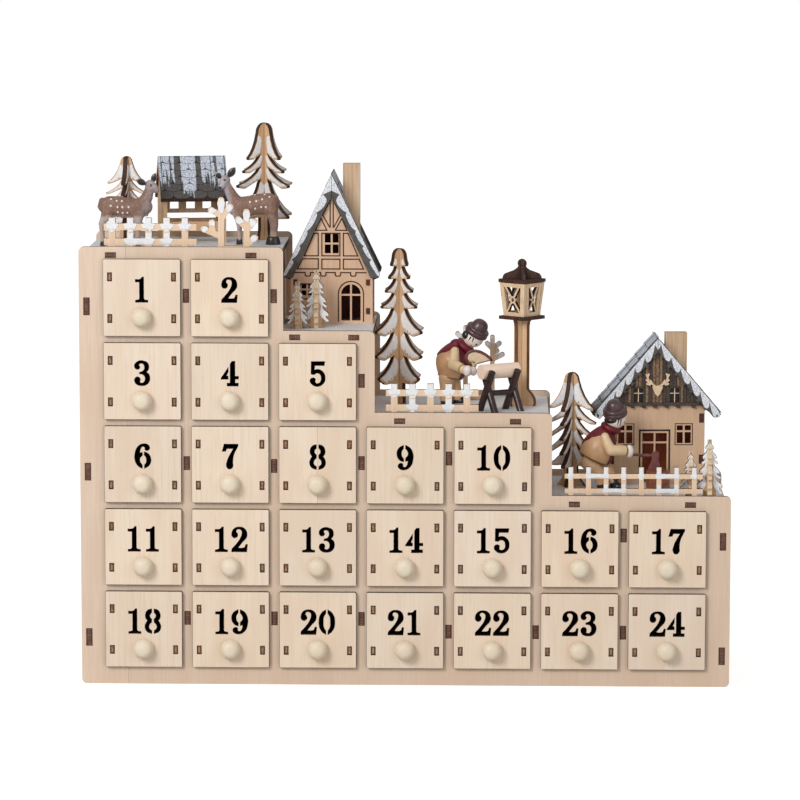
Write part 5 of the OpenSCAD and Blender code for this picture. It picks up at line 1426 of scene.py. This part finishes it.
men = {
    "sawyer": {
        "at": (27.6, 22.6, 175.65), "boots": [(-3, -2.5, 0), (5, 3, 0)],
        "legs": [[(-3, -2.5, 4, 3.5), (-1.9, -2.7, 11, 4.5), (-1.6, -2.7, 17.5, 5.7)],
                 [(5, 3, 4, 3.5), (3.2, 2.7, 12, 4.4), (2.2, 2.7, 17.5, 5.2)]],
        "foot": (0.3, 0, 17.6), "lean": 11,
        "profile": [(0, 0), (7.8, 0), (8.4, 1.0), (9.85, 4), (11.0, 7), (11.6, 10.6),
                    (10.9, 14.2), (9.3, 17), (7.5, 19.3), (5.5, 21.5), (3.6, 23.1), (0, 24.8)],
        "cape": [(-180, 0.55), (-135, 0.71), (-107, 0.84), (-90, 0.85), (-72, 0.79), (-64, 0.45),
                 (-50, 0.2), (-40, 0.0), (-15, 0.0), (-5, 0.8), (5, 0.8), (15, 0.0), (40, 0.0),
                 (50, 0.2), (64, 0.45), (72, 0.79), (107, 0.84), (135, 0.71), (180, 0.55)],
        "scarf": (10.5, -0.6, 38.6), "collar": (4.8, 2.2), "head": (15.9, -2, 44.9),
        "nod": 29, "bow": 14,
        "arms": [[(3.6, -9.6, 36.2, 2.9), (3.3, -12.5, 31.2, 3.3), (2.4, -15, 27.9, 3.6),
                  (5.7, -21.5, 27.4, 3.5), (8.8, -27.2, 26.4, 3.25)],
                 [(9.5, 5, 35.5, 3.4), (14, 3, 31, 3.3), (14.8, -3, 26.5, 3.2)]],
        "hands": [(12.1, -30.6, 25.6), (15.8, -9.5, 22.8)], "palms": [(2.9, 3.7), (2.7, 3.0)],
        "strokes": [((-1.9, 0.4), (-3.2, -1.5)), ((-0.1, -0.4), (-0.8, -2.6))],
        "eyes": [(1.8, -4.6, 0.75), (4.9, -4.0, 0.5)], "mouth": (-1.7, -5.3),
        "hair": [((-4.6, -2.9, 1.6), 3.1, (1, 1, 1))],
        "cloth": (colour(196, 152, 112), colour(172, 126, 88))},
    "woodcutter": {
        "at": (133.65, 0.4, 121.71), "boots": [(-5.4, -3, 0), (3.2, 2.5, 0)],
        "legs": [[(-14.6, -3.3, 18.4, 4.9), (-10.5, -3.6, 15.4, 5.0), (-7.0, -3.5, 11.5, 4.2),
                  (-5.5, -3, 4.5, 3.0)],
                 [(-8, 3.4, 17.5, 5.0), (-1.5, 3.4, 13.5, 4.3), (3.2, 2.5, 4.5, 2.9)]],
        "foot": (-10.65, 0, 20.5), "lean": 25.2,
        "profile": [(0, 0), (10.0, 0), (10.4, 0.8), (10.9, 3), (11.0, 6.5), (10.6, 10),
                    (9.8, 13), (8.6, 15.8), (7.2, 18.4), (5.6, 20.9), (3.6, 23), (0, 24.6)],
        "cape": [(-180, 0.2), (-152, 0.43), (-136, 0.6), (-113, 0.72), (-90, 0.78), (-70, 0.78),
                 (-53, 0.66), (-40, 0.4), (-28, 0.0), (28, 0.0), (40, 0.4), (53, 0.66),
                 (70, 0.78), (113, 0.72), (136, 0.6), (152, 0.43), (180, 0.2)],
        "scarf": (0.7, -1.0, 41.2), "collar": (4.7, 2.4), "head": (3.8, -1.5, 47.9),
        "nod": -6, "bow": 18,
        "arms": [[(-3.4, -9.0, 36.4, 2.8), (-1.5, -10.5, 31.6, 3.25), (0.7, -11, 27.6, 3.6),
                  (5.2, -9.5, 27.4, 3.75), (9.6, -8, 27.0, 3.6)],
                 [(-0.5, 6.4, 33.0, 3.4), (3.5, 5.8, 26.6, 3.4), (8.8, 3.6, 26.2, 3.1)]],
        "hands": [(12.8, -7, 26.5), (11.9, 1.8, 25.9)], "palms": [(2.9, 4.3), (2.7, 3.2)],
        "strokes": [((1.9, -0.4), (1.1, -3.6)), ((3.4, -0.4), (2.8, -4.2))],
        "eyes": [(5.6, -2.2, 0.6)], "mouth": (4.0, -5.0),
        "hair": [((-2.3, -2.3, -0.9), 5.4, (1, 1, 0.5))],
        "cloth": (colour(204, 162, 122), colour(182, 138, 96))},
}


def between(pairs, spot):
    # The pair of neighbours that the spot lies between, and its share of the way
    for (a, low), (b, after) in zip(pairs, pairs[1:]):
        if a <= spot <= b and b > a:
            return low, after, (spot - a) / (b - a)


def loft(rings, index, matrix=Matrix()):
    # A closed skin over closed sections in a ring, as points in mm
    made = bmesh.new()
    rows = [[made.verts.new(Vector(point) * mm) for point in ring] for ring in rings]
    for row, after in zip(rows, rows[1:] + rows[:1]):
        for i in range(len(row)):
            k = (i + 1) % len(row)
            made.faces.new([row[i], after[i], after[k], row[k]])
    bmesh.ops.recalc_face_normals(made, faces=made.faces)
    made.transform(matrix)
    return meshFrom(made, index, True)


def capeShell(profile, bounds, index, lift=0.5, steps=96, rows=18):
    # The outside of the coat's upper part, with an inner skin and a rolled rim: bounds gives its
    # lower edge round the coat, as angles and shares of the coat's height
    heights = [(z, r) for r, z in profile]
    rings = []
    for i in range(steps):
        angle = -180 + 360 * i / steps
        low, after, t = between(bounds, angle)
        low += (after - low) * t * t * (3 - 2 * t)
        ring = []
        for out, inward in ((lift, 1), (-0.4, -1)):
            for j in range(rows + 1)[::inward]:
                z = 0.4 + (low + (1 - low) * j / rows) * (profile[-2][1] - 0.5)
                r1, r2, t = between(heights, z)
                r = r1 + (r2 - r1) * t + out * (0.35 if j == 0 and out > 0 else 1)
                ring.append((*polar(r, angle), z))
        rings.append(ring)
    return loft(rings, index)


def ringBand(centre, way, radius, thick, index, squash=1.0):
    # A ring round a limb or a neck, square to the given way
    rings = []
    for i in range(36):
        section = [polar(thick, 30 * j) for j in range(12)]
        rings.append([(*polar(radius + x, 10 * i), z * squash) for x, z in section])
    return loft(rings, index, move(*centre) @ looking(way))


# Paint slots of a man
manPaints = ["cloth", "cape", "sleeve", "mitten", "skin", "cap", "black", "mouth", "trouser", "hem"]
slotOf = {name: i for i, name in enumerate(manPaints)}
headSize = 7.0


def manHead(man):
    # Drawn upright about the middle of the head, then tipped to the side and to the viewer
    r = headSize
    still = move(*man["head"])
    tipped = still @ spin(man["bow"], "X") @ spin(man["nod"], "Y")
    crown = [(0, 3), (6.0, 3.2), (6.1, 6.0), (5.75, 8.0), (5.4, 9.6), (4.9, 10.9), (4.1, 12.0),
             (2.9, 12.8), (1.5, 13.2), (0, 13.3)]
    face = [polar(r, a) for a in range(-84, 85, 6)]

    def onFace(x, z, out=0.0):
        # The point of the face that a straight look from the front meets
        spot = Vector((x, -math.sqrt(max(r * r - x * x - z * z, 0.3)), z))
        return spot * ((r + out) / spot.length)
    marks = []
    for start, end in man["strokes"]:
        for t in [i / 9 for i in range(10)]:
            marks.append((onFace(*Vector(start).lerp(Vector(end), t), 0.02), 0.5 - 0.26 * t))
    marks += [(onFace(x, z, -size * 0.3), size) for x, z, size in man["eyes"]]
    parts = [(lathe(crown, 48, slotOf["cap"]), tipped),
             (ringBand((0, 0, 5.9), high, 6.3, 1.7, slotOf["cap"], 1.1), tipped),
             (ringBand((0, 0, 3.7), high, 6.2, 1.95, slotOf["cap"], 1.1), tipped),
             (lathe([(0, -r)] + face + [(0, r)], 48, slotOf["skin"]), still),
             (balls(marks, slotOf["black"], 10), still),
             (balls([(onFace(*man["mouth"], -0.45), 0.85)], slotOf["mouth"], 12), still)]
    return parts + [(balls([(centre, size)], slotOf["black"], 24, flat), still)
                    for centre, size, flat in man["hair"]]


def makeMan(name, man):
    profile, still = man["profile"], Matrix()
    tilt = move(*man["foot"]) @ spin(man["lean"], "Y")
    parts = [(lathe(profile, 64, slotOf["cloth"]), tilt),
             (capeShell(profile, man["cape"], slotOf["cape"]), tilt),
             (balls([((0, 0, profile[-2][1] - 1.6), 4.7)], slotOf["cape"], 24), tilt),
             (ringBand((0, 0, 0.45), high, profile[2][0] - 0.25, 0.36, slotOf["hem"]), tilt)]
    parts += [(blended([leg], 0.4, 4, 1.0, slotOf["trouser"]), still) for leg in man["legs"]]
    for x, y, z in man["boots"]:
        shaft = [(0, 0), (2.9, 0), (2.95, 1.2), (2.85, 6.0), (3.1, 6.4), (3.1, 7.0), (0, 7.0)]
        toe = [(0, 0), (3.0, 0), (3.15, 0.8), (2.9, 2.4), (2.0, 3.7), (0, 4.4)]
        parts += [(lathe(shaft, 28, slotOf["black"]), move(x, y, z)),
                  (lathe(toe, 28, slotOf["black"]),
                   move(x + 2.8, y, z) @ Matrix.Diagonal((1.1, 0.95, 1, 1)))]
    for arm, hand, (wide, tall) in zip(man["arms"], man["hands"], man["palms"]):
        end, before = Vector(arm[-1][:3]), Vector(arm[-2][:3])
        way = (end - before).normalized()
        cuff = ringBand(end + way * 0.7, way, arm[-1][3] - 0.45, 0.5, slotOf["hem"])
        parts += [(blended([arm], 0.38, 3, 1.0, slotOf["sleeve"]), still), (cuff, still),
                  (balls([(hand, wide)], slotOf["mitten"], 24, (1, 1, tall / wide)), still)]
    spot, (big, thick) = Vector(man["scarf"]), man["collar"]
    toHead = (Vector(man["head"]) - spot).normalized()
    parts += [(ringBand(spot, toHead, big, thick, slotOf["cape"], 0.95), still),
              (balls([(spot - toHead, big + 0.6)], slotOf["cape"], 24), still)] + manHead(man)
    mesh = joined(parts)
    mesh.transform(move(*man["at"]))
    cloth = paintFinish(name + "Coat", *man["cloth"], 0.42, 0.6, 0.006, 0.12)
    link(name + "Figure", mesh, [cloth] + [paint + "Paint" for paint in manPaints[1:]],
         stands=name)


for name, man in men.items():
    makeMan(name, man)

# What the men work with
stained = {
    "sawhorse": [(56, 31, 27), (28, 14, 12)], "bow_saw": [(112, 62, 52), (74, 38, 34)],
    "axe": [(120, 68, 66), (88, 46, 46)], "chopping_block": [(142, 80, 52), (104, 54, 34)],
}
for name, tones in stained.items():
    paintNode(name, paintFinish(name + "Stain", *tones, 0.4, 0.9, 0.0025, 0.3))
saw = {"ahead": -28.2, "thick": 0.8, "bow": [
    (14.4, 29.3), (12.6, 31.0), (11.4, 33.0), (11.2, 35.0), (12.4, 37.2), (14.8, 38.4),
    (17.6, 38.6), (20.7, 37.9), (23.9, 36.2), (26.2, 34.4), (27.9, 32.8)],
    "blade": [(18.6, 30.3), (27.9, 32.8)],
    "sheet": [(13.2, 31.9), (12.2, 33.6), (12.3, 35.4), (13.4, 36.8), (15.2, 37.6), (17.6, 37.8),
              (20.4, 37.0), (23.4, 35.4), (25.6, 33.8), (26.9, 32.7), (19.2, 30.6), (17.4, 30.0),
              (16.8, 31.6), (15.4, 32.4)]}


def finishTools():
    low, top = [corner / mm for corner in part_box("axe")]
    x, y, z = Vector(men["woodcutter"]["at"]) + Vector(men["woodcutter"]["hands"][0])
    haft, bow = bmesh.new(), bmesh.new()
    limb(haft, [(x, y + 1.0, z - 2.4, 1.0), (low.x + 1.5, (low.y + top.y) / 2, z - 3.3, 1.0)])
    link("axeHaft", meshFrom(haft), ["axeStain"])
    x, y, z = men["sawyer"]["at"]
    y += saw["ahead"]
    limb(bow, [(x + px, y, z + pz, 1.0) for px, pz in saw["bow"]])
    limb(bow, [(x + px, y, z + pz, 0.5) for px, pz in saw["blade"]])
    link("sawBow", meshFrom(bow), ["bow_sawStain"], stands="bow_saw")
    mesh = cutSheet([saw["sheet"][::-1]], saw["thick"], 0.1)
    mesh.transform(standing(x, y, z))
    link("sawSheet", mesh, ["barePly", "barePly"])


finishTools()
logLook = dict(birchLook, pale=(250, 222, 200), deep=(226, 196, 172), tint=(238, 210, 188),
               fibre=(0.02, 0.001, 0.001))
paintNode("log", woodFinish("logWood", logLook, (), (61.4, -13.8, 202), 33))
print("men made")


# The stage: a pale floor, soft lamps and the camera of the photograph

shot = {"place": (60.4, -2655.3, 525.2), "turn": 1.406, "dip": -7.389, "roll": -0.074, "lens": 182.65}
lamps = {"keyLamp": {"place": (-0.95, -1.75, 1.2), "size": 0.9, "power": 25.5},
         "fillLamp": {"place": (1.4, -2.4, 0.8), "size": 1.6, "power": 7}}
target, floorGlow, skyLight = Vector((0, 0, 0.16)), 0.72, 0.49


def makeCamera():
    camera = bpy.data.cameras.new("camera")
    camera.lens = shot["lens"]
    camera.sensor_width = 36
    camera.clip_end = 20
    holder = placed("camera", camera)
    turn = spin(shot["turn"]) @ spin(shot["dip"], "X") @ spin(shot["roll"], "Y") @ spin(90, "X")
    holder.matrix_world = move(*shot["place"]) @ turn
    bpy.context.scene.camera = holder


def makeLamp(name, lamp):
    light = bpy.data.lights.new(name, "AREA")
    light.shape = "DISK"
    light.size = lamp["size"]
    light.energy = lamp["power"]
    holder = placed(name, light)
    holder.location = lamp["place"]
    holder.rotation_euler = (target - holder.location).to_track_quat("-Z", "Y").to_euler()


def makeStage():
    made = bmesh.new()
    bmesh.ops.create_grid(made, x_segments=1, y_segments=1, size=6)
    paper = Finish("floorPaper")
    seen = paper.node("ShaderNodeLightPath", {}, [], "Is Camera Ray")
    tone = paper.mix((214, 214, 214), (206, 206, 206), paper.noise(0.05, 2.0))
    floor = placed("floor", meshFrom(made))
    paintMesh(floor.data, [paper.done(Base_Color=tone, Roughness=0.9, Emission_Color=(1, 1, 1, 1),
                                      Emission_Strength=seen * floorGlow)])
    world = bpy.data.worlds.new("studio")
    world.use_nodes = True
    bpy.context.scene.world = world
    tree = world.node_tree
    back = tree.nodes["Background"]
    back.inputs["Color"].default_value = (1, 1, 1, 1)
    path = tree.nodes.new("ShaderNodeLightPath")
    level = tree.nodes.new("ShaderNodeMapRange")
    level.inputs["To Min"].default_value = skyLight
    level.inputs["To Max"].default_value = 1.0
    tree.links.new(path.outputs["Is Camera Ray"], level.inputs["Value"])
    tree.links.new(level.outputs["Result"], back.inputs["Strength"])


makeCamera()
makeStage()
for name, lamp in lamps.items():
    makeLamp(name, lamp)
bpy.context.scene.view_settings.view_transform = "Standard"
print("stage set")
